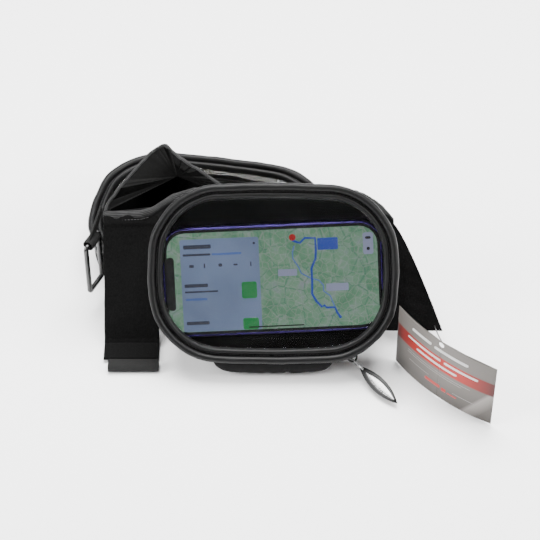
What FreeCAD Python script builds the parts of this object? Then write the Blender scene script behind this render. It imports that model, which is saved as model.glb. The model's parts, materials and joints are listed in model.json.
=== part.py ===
"""Two-pod tank bag for a motorcycle or scooter, folded up for display.

The rear pod lies on its back. The front pod leans on it and shows a phone
through its window. A saddle sheet joins their top edges, its spare cloth
stands up behind as a V-shaped collar, and a strap hangs at each end.

Frame: millimetres, +Z up, +Y away from the front pod's face, origin at the
middle of the rear pod's back panel, on the ground.
"""
import FreeCAD, Part
import Sketcher
import math
import os

doc = FreeCAD.newDocument("tank_bag")
Vector = FreeCAD.Vector
Rotation = FreeCAD.Rotation
Placement = FreeCAD.Placement

# ---------------------------------------------------------------- driving sizes
# a size written as a formula keeps its place when the pod grows or shrinks
SIZES = {
    # pod outline, measured over the piping
    "pod_width": 170.0,
    "pod_height": 123.0,
    "corner_radius": 50.0,
    # how far each wall stands inside the piping
    "wall_inset": 3.5,
    "coil_inset": 1.6,
    "window_inset": 10.0,
    "pocket_inset": 6.0,
    # wall thicknesses
    "gusset_wall": 2.2,
    "tape_wall": 1.0,
    "coil_wall": 2.4,
    # heights above the back face, stacked up to the window
    "back_top": 2.5,
    "gusset_top": 16.0,
    "tape_top": 19.6,
    "coil_top": 21.6,
    "coil_gap": 0.3,
    "lid_coil_top": 23.9,
    "lid_tape_top": 27.4,
    "lid_side_top": 29.6,
    "rim_top": 31.0,
    "piping_tube": 2.6,
    "window_bead_tube": 1.8,
    "window_bead_inset": 8.2,
    "window_film": 0.6,
    "window_film_low": 0.4,
    "stiffener_thick": 2.8,
    "stiffener_room": 1.0,
    "pocket_sheet": 1.0,
    # clearances between pieces that lie against each other
    "seam_gap": 0.1,
    "fine_gap": 0.05,
    "ground_gap": 0.3,
    # bottom hinge panel, the stretch with no zip
    "hinge_width": "=pod_width - 87",
    "hinge_bulge": 10.0,
    "hinge_root": 4.5,
    "hinge_low": 10.5,
    "hinge_corner": 8.0,
    "hinge_shoulder": 2.0,
    "hinge_lip": 1.0,
    "hinge_cut_out": 5.0,
    "hinge_cut_in": 15.0,
    # zip slider and pull
    "slider_angle": 68.0,
    "slider_length": 10.0,
    "slider_thick": 4.0,
    "slider_wide": 4.8,
    "slider_clear": 0.4,
    "stop_wide": 1.6,
    "stop_deep": 1.2,
    "stop_aside": 1.2,
    "stop_proud": 1.4,
    "bail_ring": 3.2,
    "bail_tube": 0.7,
    "bail_sunk": 0.2,
    "link_ring": 2.3,
    "link_tube": 0.6,
    "link_long": 8.0,
    "pull_long": 40.0,
    "pull_wide": 15.0,
    "pull_thick": 3.0,
    "pull_hole": 1.9,
    "pull_eye": 2.2,
    "inlay_depth": 0.5,
    "inlay_margin": 2.6,
    "inlay_ends": 10.0,
    "inlay_start": 5.0,
    "pull_aside": 84.0,
    "pull_ahead": 88.0,
    "pull_rest": 4.0,
    "rear_pull_droop": 3.0,
    # phone in the window pocket
    "phone_long": "=min(pod_width - 19.1; pod_width * 0.7 + 31.9)",
    "phone_tall": "=min(pod_height - 47.3; pod_height * 1.3 - 84.2)",
    "phone_thick": 8.3,
    "phone_corner": 16.0,
    "phone_tilt": 2.6,
    "phone_drop": 4.6,
    "phone_room": 0.4,
    "screen_margin": 3.6,
    "screen_depth": 0.5,
    # how the front pod leans and where it stands
    "front_lean": 36.0,
    "front_side": 47.5,
    "stand_clear": 0.2,
    "pod_gap": 0.8,
    "rear_yaw": -10.0,
    # saddle sheet behind the front pod
    "sheet_thick": 2.6,
    "sheet_gap": 0.6,
    "saddle_width": "=pod_width - 86",
    "crease_drop": 0.4,
    "saddle_top": 56.0,
    "ear_left": "=0 - pod_width / 2 - pod_height * 0.27 - 0.29",
    "ear_right": "=pod_width / 2 - 1",
    "ear_low": 31.0,
    "binding_tall": 7.0,
    "binding_proud": 0.5,
    "root_long": 30.0,
    "pad_thick": 3.0,
    "pad_side": 8.0,
    "pad_low": 14.0,
    "pad_high": 4.0,
    # collar
    "collar_floor": 38.0,
    "collar_wall": 3.0,
    "collar_binding": 5.0,
    "collar_top": 96.0,
    "collar_rim": 7.0,
    "collar_stand": 3.6,
    "collar_headroom": 10.0,
    "collar_slope": 18.0,
    "collar_right_turn": -36.5,
    "collar_left_turn": -128.0,
    "collar_left_reach": 58.0,
    "apex_side": -33.0,
    "apex_far": 10.0,
    # straps
    "strap_width": 39.0,
    "strap_foot": 18.0,
    "strap_gap": 1.1,
    "wing_width": 41.0,
    "wing_long": 76.0,
    "wing_sweep": 35.0,
    "loop_width": 35.0,
    "loop_deep": 9.5,
    "loop_tall": 5.5,
    "loop_wall": 1.8,
    "loop_ground_gap": 0.2,
    "tie_margin": 4.0,
    "tie_inset": 2.0,
    "tie_hole_gap": 0.5,
    # cinch ring
    "ring_tall": 46.0,
    "ring_wide": 22.0,
    "ring_bar": 4.0,
    "ring_thick": 3.0,
    "ring_yaw": 66.0,
    "ring_aside": 7.5,
    "ring_drop": 0.4,
    "tab_wide": 12.0,
    "tab_thick": 1.6,
    "tab_low": 20.0,
    "tab_inner": 2.9,
    "tab_outer": 4.1,
    "tab_root_low": 14.0,
    "tab_root_high": 20.5,
    # hang tag
    "tag_long": 85.0,
    "tag_tall": 55.0,
    "tag_card": 0.6,
    "tag_bow": 6.0,
    "tag_hole": 2.0,
    "tag_hole_drop": 3.5,
    "tag_yaw": 136.4,
    "tag_side": "=front_side + pod_width / 2 + 31.3",
    "tag_near": -140.9,
    "tie_tube": 0.6,
    "tie_gap": 2.5,
}
sheet = doc.addObject("Spreadsheet::Sheet", "Sizes")
for row, (alias, value) in enumerate(SIZES.items(), start=1):
    sheet.set(f"A{row}", alias)
    sheet.set(f"B{row}", str(value))
    sheet.setAlias(f"B{row}", alias)
doc.recompute()


def size(expression):
    """The value of an expression written in the sheet's aliases, in mm."""
    return float(doc.Sizes.evalExpression(cells(expression)))


def cells(expression):
    """Point each alias in an expression at its cell of the sheet."""
    words = expression.replace("(", " ( ").replace(")", " ) ").split()
    return " ".join(f"Sizes.{word}" if word in SIZES else word for word in words)


parts = {}


def keep(name, shape_object):
    """Name a finished sub-part, which names its file."""
    shape_object.Label = name
    parts[name] = shape_object
    return shape_object


def new_body(name):
    return doc.addObject("PartDesign::Body", name)


def new_sketch(body, plane, offset="0"):
    """A sketch on one of the body's own origin planes, lifted by an offset."""
    sketch = body.newObject("Sketcher::SketchObject", f"{body.Name}_sketch")
    support = [item for item in body.Origin.OriginFeatures if item.Role == plane][0]
    sketch.AttachmentSupport = [(support, "")]
    sketch.MapMode = "FlatFace"
    sketch.setExpression(".AttachmentOffset.Base.z", cells(offset))
    return sketch


def bind(sketch, index, expression):
    sketch.setExpression(f"Constraints[{index}]", cells(expression))


def add_polygon(sketch, corners):
    """A closed outline; each corner is a pair of expressions from the origin."""
    points = [Vector(size(across), size(up), 0) for across, up in corners]
    count = len(points)
    first = sketch.GeometryCount
    for number, point in enumerate(points):
        sketch.addGeometry(Part.LineSegment(point, points[(number + 1) % count]))
    for number in range(count):
        following = first + (number + 1) % count
        sketch.addConstraint(Sketcher.Constraint("Coincident", first + number, 2, following, 1))
    for number, (across, up) in enumerate(corners):
        for kind, expression in (("DistanceX", across), ("DistanceY", up)):
            value = size(expression)
            pin_point(sketch, kind, first + number, 1, expression, value)


def pin_point(sketch, kind, line, end, expression, value):
    """Hold one coordinate of a point, measured from the sketch's origin."""
    if value < 0:
        pair = (line, end, -1, 1)
        signed = f"0 - ( {expression} )"
    else:
        pair = (-1, 1, line, end)
        signed = expression
    index = sketch.addConstraint(Sketcher.Constraint(kind, *pair, abs(value)))
    bind(sketch, index, signed)


def add_rounded(sketch, half_wide, half_tall, radius):
    """A rectangle centred on the origin with four equal round corners."""
    wide, tall, round_size = size(half_wide), size(half_tall), size(radius)
    first = sketch.GeometryCount
    corners = ((1, 1, 0), (-1, 1, 90), (-1, -1, 180), (1, -1, 270))
    ends = []
    for across, up, start in corners:
        centre = Vector(across * (wide - round_size), up * (tall - round_size), 0)
        circle = Part.Circle(centre, Vector(0, 0, 1), round_size)
        arc = Part.ArcOfCircle(circle, math.radians(start), math.radians(start + 90))
        sketch.addGeometry(arc)
        ends.append((arc.StartPoint, arc.EndPoint))
    for number in range(4):
        sketch.addGeometry(Part.LineSegment(ends[number][1], ends[(number + 1) % 4][0]))
    for number in range(4):
        line = first + 4 + number
        following = first + (number + 1) % 4
        sketch.addConstraint(Sketcher.Constraint("Tangent", first + number, 2, line, 1))
        sketch.addConstraint(Sketcher.Constraint("Tangent", line, 2, following, 1))
    for number, (across, up, _) in enumerate(corners):
        arc = first + number
        reach = ((across, "DistanceX", half_wide, wide), (up, "DistanceY", half_tall, tall))
        for sign, kind, half, length in reach:
            expression = f"{half} - ( {radius} )"
            pair = (-1, 1, arc, 3) if sign > 0 else (arc, 3, -1, 1)
            constraint = Sketcher.Constraint(kind, *pair, length - round_size)
            bind(sketch, sketch.addConstraint(constraint), expression)
    index = sketch.addConstraint(Sketcher.Constraint("Radius", first, round_size))
    bind(sketch, index, radius)
    for number in range(1, 4):
        sketch.addConstraint(Sketcher.Constraint("Equal", first, first + number))


def pod_outline(sketch, inset):
    """The pod's outline, drawn in from the piping's outer edge by an inset."""
    add_rounded(
        sketch,
        f"pod_width / 2 - ( {inset} )",
        f"pod_height / 2 - ( {inset} )",
        f"corner_radius - ( {inset} )",
    )


def pad(body, sketch, length, symmetric=False):
    feature = body.newObject("PartDesign::Pad", f"{body.Name}_pad")
    feature.Profile = sketch
    if symmetric:
        feature.SideType = "Symmetric"
    feature.setExpression("Length", cells(length))
    return feature


def pocket(body, sketch, length):
    """Cut the same distance to both sides of a sketch."""
    feature = body.newObject("PartDesign::Pocket", f"{body.Name}_pocket")
    feature.Profile = sketch
    feature.SideType = "Symmetric"
    feature.setExpression("Length", cells(length))
    return feature


# ---------------------------------------------------------------- pieces of a pod
def plate(name, inset, bottom, top):
    """A flat sheet of the pod's outline."""
    body = new_body(name)
    sketch = new_sketch(body, "XY_Plane", bottom)
    pod_outline(sketch, inset)
    pad(body, sketch, f"{top} - ( {bottom} )")
    return body


def band(name, inset, wall, bottom, top, open_at_hinge=False):
    """A wall that follows the outline; the zip's bands stop at the hinge panel."""
    body = new_body(name)
    sketch = new_sketch(body, "XY_Plane", bottom)
    pod_outline(sketch, inset)
    pod_outline(sketch, f"{inset} + {wall}")
    pad(body, sketch, f"{top} - ( {bottom} )")
    if open_at_hinge:
        cut = new_sketch(body, "XY_Plane", bottom)
        half = "hinge_width / 2 + slider_clear"
        add_polygon(cut, [
            (f"0 - ( {half} )", "0 - pod_height / 2 - hinge_cut_out"),
            (half, "0 - pod_height / 2 - hinge_cut_out"),
            (half, "0 - pod_height / 2 + hinge_cut_in"),
            (f"0 - ( {half} )", "0 - pod_height / 2 + hinge_cut_in"),
        ])
        pocket(body, cut, "pod_width")
    return body


def bead(name, inset, tube, bottom):
    """A round cord of piping that runs all the way round."""
    body = new_body(name)
    path = new_sketch(body, "XY_Plane", f"{bottom} + {tube}")
    pod_outline(path, inset)
    profile = new_sketch(body, "XZ_Plane")
    centre = Vector(size(f"pod_width / 2 - ( {inset} )"), size(f"{bottom} + {tube}"), 0)
    profile.addGeometry(Part.Circle(centre, Vector(0, 0, 1), size(tube)))
    index = profile.addConstraint(Sketcher.Constraint("Radius", 0, size(tube)))
    bind(profile, index, tube)
    pin_point(profile, "DistanceX", 0, 3, f"pod_width / 2 - ( {inset} )", centre.x)
    pin_point(profile, "DistanceY", 0, 3, f"{bottom} + {tube}", centre.y)
    pipe = body.newObject("PartDesign::AdditivePipe", f"{name}_pipe")
    pipe.Profile = profile
    pipe.Spine = path
    return body


def hinge_panel(name, bottom, top, lower_reach):
    """Half of the padded panel along the pod's bottom edge, bulging outwards."""
    body = new_body(name)
    sketch = new_sketch(body, "YZ_Plane")
    root = "0 - pod_height / 2 + hinge_root"
    out = "0 - pod_height / 2 - hinge_bulge"
    skin = "0 - pod_height / 2 + wall_inset - seam_gap"
    add_polygon(sketch, [
        (skin, bottom),
        (lower_reach, bottom),
        (out, f"{top} - hinge_shoulder"),
        (out, top),
        (root, top),
        (root, "gusset_top"),
        (skin, "gusset_top"),
    ])
    pad(body, sketch, "hinge_width", symmetric=True)
    round_ends(body)
    return body


def round_ends(body):
    """Cut the bulge's outer corners away, so the panel tapers at each end."""
    sketch = new_sketch(body, "XY_Plane", "coil_top")
    out = "0 - pod_height / 2 - hinge_bulge"
    for sign in ("", "0 - "):
        add_polygon(sketch, [
            (f"{sign}( hinge_width / 2 - hinge_corner )", f"{out} - hinge_lip"),
            (f"{sign}( hinge_width / 2 - hinge_corner )", out),
            (f"{sign}( hinge_width / 2 )", f"{out} + hinge_corner"),
            (f"{sign}( hinge_width / 2 + hinge_lip )", f"{out} + hinge_corner"),
            (f"{sign}( hinge_width / 2 + hinge_lip )", f"{out} - hinge_lip"),
        ])
    pocket(body, sketch, "pod_width")


def lid_hinge_panel(name):
    """The other half, on the lid's side of the hinge line."""
    body = new_body(name)
    sketch = new_sketch(body, "YZ_Plane")
    root = "0 - pod_height / 2 + hinge_root"
    out = "0 - pod_height / 2 - hinge_bulge"
    low = "coil_top + coil_gap"
    add_polygon(sketch, [
        (root, low),
        (out, low),
        (out, "lid_coil_top + hinge_lip"),
        ("0 - pod_height / 2 - hinge_lip", "lid_side_top"),
        ("0 - pod_height / 2 + wall_inset - 2 * seam_gap", "lid_side_top"),
        ("0 - pod_height / 2 + wall_inset - 2 * seam_gap", "lid_tape_top"),
        (root, "lid_tape_top"),
    ])
    pad(body, sketch, "hinge_width", symmetric=True)
    round_ends(body)
    return body


def stops(name):
    """The two metal end stops of the zip, one at each end of the hinge panel."""
    boxes = []
    for side in (-1, 1):
        box = doc.addObject("Part::Box", f"{name}_box")
        box.setExpression("Length", cells("stop_wide"))
        box.setExpression("Width", cells("stop_deep"))
        box.setExpression("Height", cells("coil_top - gusset_top"))
        near = size("hinge_width / 2 + stop_aside")
        box.Placement.Base = Vector(
            near if side > 0 else -near - size("stop_wide"),
            -size("pod_height / 2 - coil_inset + stop_proud"),
            size("gusset_top"),
        )
        boxes.append(box)
    group = doc.addObject("Part::Compound", name)
    group.Links = boxes
    return group


def corner_spot():
    """The slider's frame: origin on the corner arc, X along the zip, Y outwards."""
    angle = math.radians(-size("slider_angle"))
    centre = Vector(size("pod_width / 2 - corner_radius"), -size("pod_height / 2 - corner_radius"), 0)
    outward = Vector(math.cos(angle), math.sin(angle), 0)
    along = Vector(-math.sin(angle), math.cos(angle), 0)
    spot = centre + outward * size("corner_radius - coil_inset + slider_clear")
    spot.z = size("coil_top - slider_wide / 2")
    return spot, along, outward


def slider(name):
    """The slider's body with its bail, outside the coil it runs on."""
    spot, along, outward = corner_spot()
    turn = Rotation(along, outward, Vector(0, 0, 0), "XYZ")
    block = doc.addObject("Part::Box", f"{name}_block")
    block.setExpression("Length", cells("slider_length"))
    block.setExpression("Width", cells("slider_thick"))
    block.setExpression("Height", cells("slider_wide"))
    block.Placement = Placement(
        spot - along * size("slider_length / 2") - Vector(0, 0, size("slider_wide / 2")), turn)
    bail = doc.addObject("Part::Torus", f"{name}_bail")
    bail.setExpression("Radius1", cells("bail_ring"))
    bail.setExpression("Radius2", cells("bail_tube"))
    bail.Angle3 = 180
    bail.Placement = Placement(spot + outward * size("slider_thick - bail_sunk"), turn)
    whole = doc.addObject("Part::Fuse", name)
    whole.Base = block
    whole.Tool = bail
    return whole


def crown_place():
    """The point where the link hangs on the bail, in the pod's frame."""
    spot, along, outward = corner_spot()
    return spot + outward * size("slider_thick - bail_sunk + bail_ring"), along


def straight_pull(place, tip):
    """Link and pull in line, aimed at a spot on the ground: one frame for both."""
    crown, along = crown_place()
    start = place.multVec(crown)
    ahead = (tip - start).normalize()
    across = place.Rotation.multVec(along)
    side = (across - ahead * across.dot(ahead)).normalize()
    frame = Placement(start, Rotation(ahead, side, Vector(0, 0, 0), "XYZ"))
    return frame, frame


def hanging_pull(place):
    """Link hanging plumb, with the pull turned along the wall, just off the ground."""
    crown, along = crown_place()
    down = Vector(0, 0, -1)
    link_frame = Placement(crown, Rotation(down, along, Vector(0, 0, 0), "XYZ"))
    eye = Vector(size("link_long + link_ring"), 0, 0)
    droop = math.radians(size("rear_pull_droop"))
    ahead = down * math.sin(droop) - along * math.cos(droop)
    side = down * math.cos(droop) + along * math.sin(droop)
    turn = Rotation(ahead, side, Vector(0, 0, 0), "XYZ")
    pull_frame = Placement(link_frame.multVec(eye), turn).multiply(Placement(-eye, Rotation()))
    return place.multiply(link_frame), place.multiply(pull_frame)


def link(name):
    """A steel wire link: a long ring that joins the bail to the pull."""
    body = new_body(name)
    path = new_sketch(body, "XZ_Plane")
    ring, long_size = size("link_ring"), size("link_long")
    upright = Vector(0, 0, 1)
    near_round = Part.Circle(Vector(0, 0, 0), upright, ring)
    far_round = Part.Circle(Vector(long_size, 0, 0), upright, ring)
    near = Part.ArcOfCircle(near_round, math.pi / 2, 3 * math.pi / 2)
    far = Part.ArcOfCircle(far_round, -math.pi / 2, math.pi / 2)
    path.addGeometry(near)
    path.addGeometry(far)
    path.addGeometry(Part.LineSegment(Vector(0, -ring, 0), Vector(long_size, -ring, 0)))
    path.addGeometry(Part.LineSegment(Vector(long_size, ring, 0), Vector(0, ring, 0)))
    for first, second in (((0, 2), (2, 1)), ((2, 2), (1, 1)), ((1, 2), (3, 1)), ((3, 2), (0, 1))):
        path.addConstraint(Sketcher.Constraint("Tangent", *first, *second))
    path.addConstraint(Sketcher.Constraint("Coincident", 0, 3, -1, 1))
    bind(path, path.addConstraint(Sketcher.Constraint("Radius", 0, ring)), "link_ring")
    path.addConstraint(Sketcher.Constraint("PointOnObject", 1, 3, -1))
    pin_point(path, "DistanceX", 1, 3, "link_long", long_size)
    profile = new_sketch(body, "YZ_Plane", "link_long / 2")
    profile.addGeometry(Part.Circle(Vector(0, ring, 0), Vector(0, 0, 1), size("link_tube")))
    bind(profile, profile.addConstraint(Sketcher.Constraint("Radius", 0, size("link_tube"))), "link_tube")
    profile.addConstraint(Sketcher.Constraint("PointOnObject", 0, 3, -2))
    pin_point(profile, "DistanceY", 0, 3, "link_ring", ring)
    pipe = body.newObject("PartDesign::AdditivePipe", f"{name}_pipe")
    pipe.Profile = profile
    pipe.Spine = path
    return body


def leaf(sketch, start, long_size, half_wide):
    """A leaf outline: two equal arcs that meet at both ends."""
    begin, length, half = size(start), size(long_size), size(half_wide)
    radius = (length * length / 4 + half * half) / (2 * half)
    middle = begin + length / 2
    spread = math.asin(length / 2 / radius)
    for sign in (1, -1):
        centre = Vector(middle, sign * (half - radius), 0)
        aim = sign * math.pi / 2
        circle = Part.Circle(centre, Vector(0, 0, 1), radius)
        sketch.addGeometry(Part.ArcOfCircle(circle, aim - spread, aim + spread))
    sketch.addConstraint(Sketcher.Constraint("Coincident", 0, 1, 1, 2))
    sketch.addConstraint(Sketcher.Constraint("Coincident", 0, 2, 1, 1))
    sketch.addConstraint(Sketcher.Constraint("Equal", 0, 1))
    sketch.addConstraint(Sketcher.Constraint("PointOnObject", 0, 2, -1))
    pin_point(sketch, "DistanceX", 0, 2, start, begin)
    sketch.addConstraint(Sketcher.Constraint("PointOnObject", 0, 1, -1))
    pin_point(sketch, "DistanceX", 0, 1, f"{start} + {long_size}", begin + length)
    expression = f"( ( {long_size} ) ^ 2 / 4 + ( {half_wide} ) ^ 2 ) / ( 2 * ( {half_wide} ) )"
    bind(sketch, sketch.addConstraint(Sketcher.Constraint("Radius", 0, radius)), expression)


def pull(name):
    """The moulded leaf-shaped pull, with a hole for the link and a recess."""
    body = new_body(name)
    outline = new_sketch(body, "XY_Plane", "0 - pull_thick / 2")
    leaf(outline, "link_long - pull_eye", "pull_long", "pull_wide / 2")
    pad(body, outline, "pull_thick")
    hole = new_sketch(body, "XY_Plane")
    spot = size("link_long + link_ring")
    hole.addGeometry(Part.Circle(Vector(spot, 0, 0), Vector(0, 0, 1), size("pull_hole")))
    bind(hole, hole.addConstraint(Sketcher.Constraint("Radius", 0, size("pull_hole"))), "pull_hole")
    hole.addConstraint(Sketcher.Constraint("PointOnObject", 0, 3, -1))
    pin_point(hole, "DistanceX", 0, 3, "link_long + link_ring", spot)
    pocket(body, hole, "pull_thick * 2")
    recess = new_sketch(body, "XY_Plane", "pull_thick / 2")
    leaf(recess, "link_long + inlay_start", "pull_long - inlay_ends", "pull_wide / 2 - inlay_margin")
    pocket(body, recess, "inlay_depth * 2")
    return body


def inlay(name):
    """The thin plated leaf let into the pull's face."""
    body = new_body(name)
    outline = new_sketch(body, "XY_Plane", "pull_thick / 2 - inlay_depth")
    leaf(outline, "link_long + inlay_start + seam_gap", "pull_long - inlay_ends - 2 * seam_gap",
         "pull_wide / 2 - inlay_margin - seam_gap")
    pad(body, outline, "inlay_depth - fine_gap")
    return body


def make_pod(prefix, place, pull_frames):
    """Every piece of one pod, in the pod's own frame, then set in its place."""
    tape_in = "wall_inset + seam_gap"
    lid_low = "coil_top + coil_gap"
    film_low = "lid_side_top + window_film_low"
    backing_top = "lid_tape_top - phone_thick - phone_room"
    pieces = {
        "back_panel": plate(f"{prefix}_back_panel", "wall_inset", "0", "back_top"),
        "stiffener": plate(f"{prefix}_stiffener", "wall_inset + gusset_wall + stiffener_room",
                           "back_top", "back_top + stiffener_thick"),
        "gusset": band(f"{prefix}_gusset", "wall_inset", "gusset_wall", "back_top", "gusset_top"),
        "zip_tape_body": band(f"{prefix}_zip_tape_body", tape_in, "tape_wall",
                              "gusset_top", "tape_top", True),
        "zip_coil_body": band(f"{prefix}_zip_coil_body", "coil_inset", "coil_wall",
                              "tape_top", "coil_top", True),
        "zip_coil_lid": band(f"{prefix}_zip_coil_lid", "coil_inset", "coil_wall",
                             lid_low, "lid_coil_top", True),
        "zip_tape_lid": band(f"{prefix}_zip_tape_lid", tape_in, "tape_wall",
                             "lid_coil_top", "lid_tape_top", True),
        "lid_side": band(f"{prefix}_lid_side", "wall_inset", "gusset_wall",
                         "lid_tape_top", "lid_side_top"),
        "window_rim": band(f"{prefix}_window_rim", "wall_inset", "window_inset - wall_inset",
                           "lid_side_top", "rim_top"),
        "lid_piping": bead(f"{prefix}_lid_piping", "piping_tube", "piping_tube", "rim_top"),
        "window_bead": bead(f"{prefix}_window_bead", "window_bead_inset", "window_bead_tube", "rim_top"),
        "window": plate(f"{prefix}_window", "window_inset + fine_gap",
                        film_low, f"{film_low} + window_film"),
        "pocket_backing": plate(f"{prefix}_pocket_backing", "pocket_inset",
                                f"{backing_top} - pocket_sheet", backing_top),
        "hinge_panel_body": hinge_panel(f"{prefix}_hinge_panel_body", "hinge_low", "coil_top",
                                        "0 - pod_height / 2 - hinge_lip"),
        "hinge_panel_lid": lid_hinge_panel(f"{prefix}_hinge_panel_lid"),
        "zip_stops": stops(f"{prefix}_zip_stops"),
        "slider": slider(f"{prefix}_slider"),
    }
    for piece, shape_object in pieces.items():
        shape_object.Placement = place.multiply(shape_object.Placement)
        keep(f"{prefix}_{piece}", shape_object)
    link_frame, pull_frame = pull_frames
    for piece, shape_object, frame in (
        ("pull_link", link(f"{prefix}_pull_link"), link_frame),
        ("pull", pull(f"{prefix}_pull"), pull_frame),
        ("pull_inlay", inlay(f"{prefix}_pull_inlay"), pull_frame),
    ):
        shape_object.Placement = frame
        keep(f"{prefix}_{piece}", shape_object)


# the front pod stands on its back panel's lower edge and leans on the rear pod's rim
lean_angle = math.radians(size("front_lean"))
yaw = math.radians(size("rear_yaw"))
front_high = size("pod_height / 2 - wall_inset") * math.cos(lean_angle) + size("stand_clear")
rear_reach = (size("pod_width / 2 - corner_radius") * abs(math.sin(yaw))
              + size("pod_height / 2 - corner_radius") * math.cos(yaw) + size("corner_radius"))
crease_high = size("rim_top + piping_tube * 2 - crease_drop")
sheet_back_place = -size("sheet_gap + sheet_thick + seam_gap")
saddle_low = (crease_high - front_high - sheet_back_place * math.sin(lean_angle)) / math.cos(lean_angle)
crease_near = saddle_low * math.sin(lean_angle) - sheet_back_place * math.cos(lean_angle)
front_near = -(rear_reach + size("pod_gap") + crease_near + size("sheet_thick"))
lean = Rotation(Vector(1, 0, 0), 90 - size("front_lean"))
front_place = Placement(Vector(size("front_side"), front_near, front_high), lean)
rear_place = Placement(Vector(0, 0, 0), Rotation(Vector(0, 0, 1), size("rear_yaw") + 180))
front_tip = Vector(size("front_side + pull_aside"), front_near - size("pull_ahead"), size("pull_rest"))
make_pod("rear", rear_place, hanging_pull(rear_place))
make_pod("front", front_place, straight_pull(front_place, front_tip))


# ---------------------------------------------------------------- phone in the lid pocket
def phone_plate(name, half_wide, half_tall, corner, bottom, top):
    body = new_body(name)
    sketch = new_sketch(body, "XY_Plane", bottom)
    add_rounded(sketch, half_wide, half_tall, corner)
    pad(body, sketch, f"{top} - ( {bottom} )")
    return body


phone_face = "lid_tape_top - seam_gap"
phone = phone_plate("phone", "phone_long / 2", "phone_tall / 2", "phone_corner",
                    f"{phone_face} - phone_thick", phone_face)
recess = new_sketch(phone, "XY_Plane", phone_face)
add_rounded(recess, "phone_long / 2 - screen_margin", "phone_tall / 2 - screen_margin",
            "phone_corner - screen_margin")
pocket(phone, recess, "screen_depth * 2")
screen = phone_plate("phone_screen", "phone_long / 2 - screen_margin - seam_gap",
                     "phone_tall / 2 - screen_margin - seam_gap",
                     "phone_corner - screen_margin - seam_gap",
                     f"{phone_face} - screen_depth", f"{phone_face} - fine_gap")
phone_turn = Placement(Vector(0, -size("phone_drop"), 0),
                       Rotation(Vector(0, 0, 1), size("phone_tilt")))
for name, shape_object in (("phone", phone), ("phone_screen", screen)):
    shape_object.Placement = front_place.multiply(phone_turn)
    keep(name, shape_object)

# ---------------------------------------------------------------- saddle sheet
low_edge = f"0 + {saddle_low:.6f}" if saddle_low >= 0 else f"0 - {-saddle_low:.6f}"
sheet_face = "0 - sheet_gap"
sheet_back = "0 - sheet_gap - sheet_thick"
saddle = new_body("saddle_sheet")
sketch = new_sketch(saddle, "XY_Plane", sheet_back)
add_polygon(sketch, [
    ("0 - saddle_width / 2", low_edge),
    ("saddle_width / 2", low_edge),
    ("saddle_width / 2", "ear_low"),
    ("ear_right", "ear_low"),
    ("ear_right", "saddle_top - binding_tall"),
    ("ear_left", "saddle_top - binding_tall"),
    ("ear_left", "ear_low"),
    ("0 - saddle_width / 2", "ear_low"),
])
pad(saddle, sketch, "sheet_thick")
keep("saddle_sheet", saddle)

binding = new_body("saddle_binding")
sketch = new_sketch(binding, "XY_Plane", f"{sheet_back} - binding_proud")
add_polygon(sketch, [
    ("ear_left", "saddle_top - binding_tall"),
    ("ear_right", "saddle_top - binding_tall"),
    ("ear_right", "saddle_top"),
    ("ear_left", "saddle_top"),
])
pad(binding, sketch, "sheet_thick + binding_proud")
keep("saddle_binding", binding)

# the sheet's lower run hangs plumb between the pods, down to the rear back panel
root = new_body("saddle_root")
sketch = new_sketch(root, "YZ_Plane")
plumb = lean_angle
corner = (low_edge, f"{sheet_back} - seam_gap")
add_polygon(sketch, [
    corner,
    (f"{corner[0]} - root_long * {math.cos(plumb)}", f"{corner[1]} - root_long * {math.sin(plumb)}"),
    (f"{corner[0]} - root_long * {math.cos(plumb)} + sheet_thick * {math.sin(plumb)}",
     f"{corner[1]} - root_long * {math.sin(plumb)} - sheet_thick * {math.cos(plumb)}"),
    (f"{corner[0]} + sheet_thick * {math.sin(plumb)}",
     f"{corner[1]} - sheet_thick * {math.cos(plumb)}"),
])
pad(root, sketch, "saddle_width", symmetric=True)
keep("saddle_root", root)

pad_foam = new_body("saddle_pad")
sketch = new_sketch(pad_foam, "XY_Plane", f"{sheet_back} - pad_thick")
add_polygon(sketch, [
    ("0 - saddle_width / 2 + pad_side", f"{low_edge} + pad_low"),
    ("saddle_width / 2 - pad_side", f"{low_edge} + pad_low"),
    ("saddle_width / 2 - pad_side", "ear_low - pad_high"),
    ("0 - saddle_width / 2 + pad_side", "ear_low - pad_high"),
])
pad(pad_foam, sketch, "pad_thick")
keep("saddle_pad", pad_foam)
for shape_object in (saddle, binding, root, pad_foam):
    shape_object.Placement = front_place


# ---------------------------------------------------------------- collar behind the front pod
# two upright walls of spare saddle cloth meet at a fold; their rim slopes to the front
apex = Vector(size("apex_side"), size("apex_far"), 0)


def collar_slab(name, turn, reach, thick, low, tall):
    """An upright slab that runs from the apex along one leg of the V."""
    box = doc.addObject("Part::Box", name)
    box.setExpression("Length", cells(reach))
    box.setExpression("Width", cells(thick))
    box.setExpression("Height", cells(tall))
    middle = Vector(0, -size(thick) / 2, size(low))
    box.Placement = Placement(apex, Rotation(Vector(0, 0, 1), size(turn))).multiply(
        Placement(middle, Rotation()))
    return box


def rim_slab(name, tall):
    """A sloping layer whose lower face is the top edge of the collar's walls."""
    box = doc.addObject("Part::Box", name)
    box.setExpression("Length", cells("pod_width * 2"))
    box.setExpression("Width", cells("pod_width * 2"))
    box.setExpression("Height", cells(tall))
    start = Vector(apex.x, apex.y, size("collar_top - collar_rim"))
    slope = Rotation(Vector(1, 0, 0), size("collar_slope"))
    middle = Vector(-size("pod_width"), -size("pod_width"), 0)
    box.Placement = Placement(start, slope).multiply(Placement(middle, Rotation()))
    return box


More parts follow.
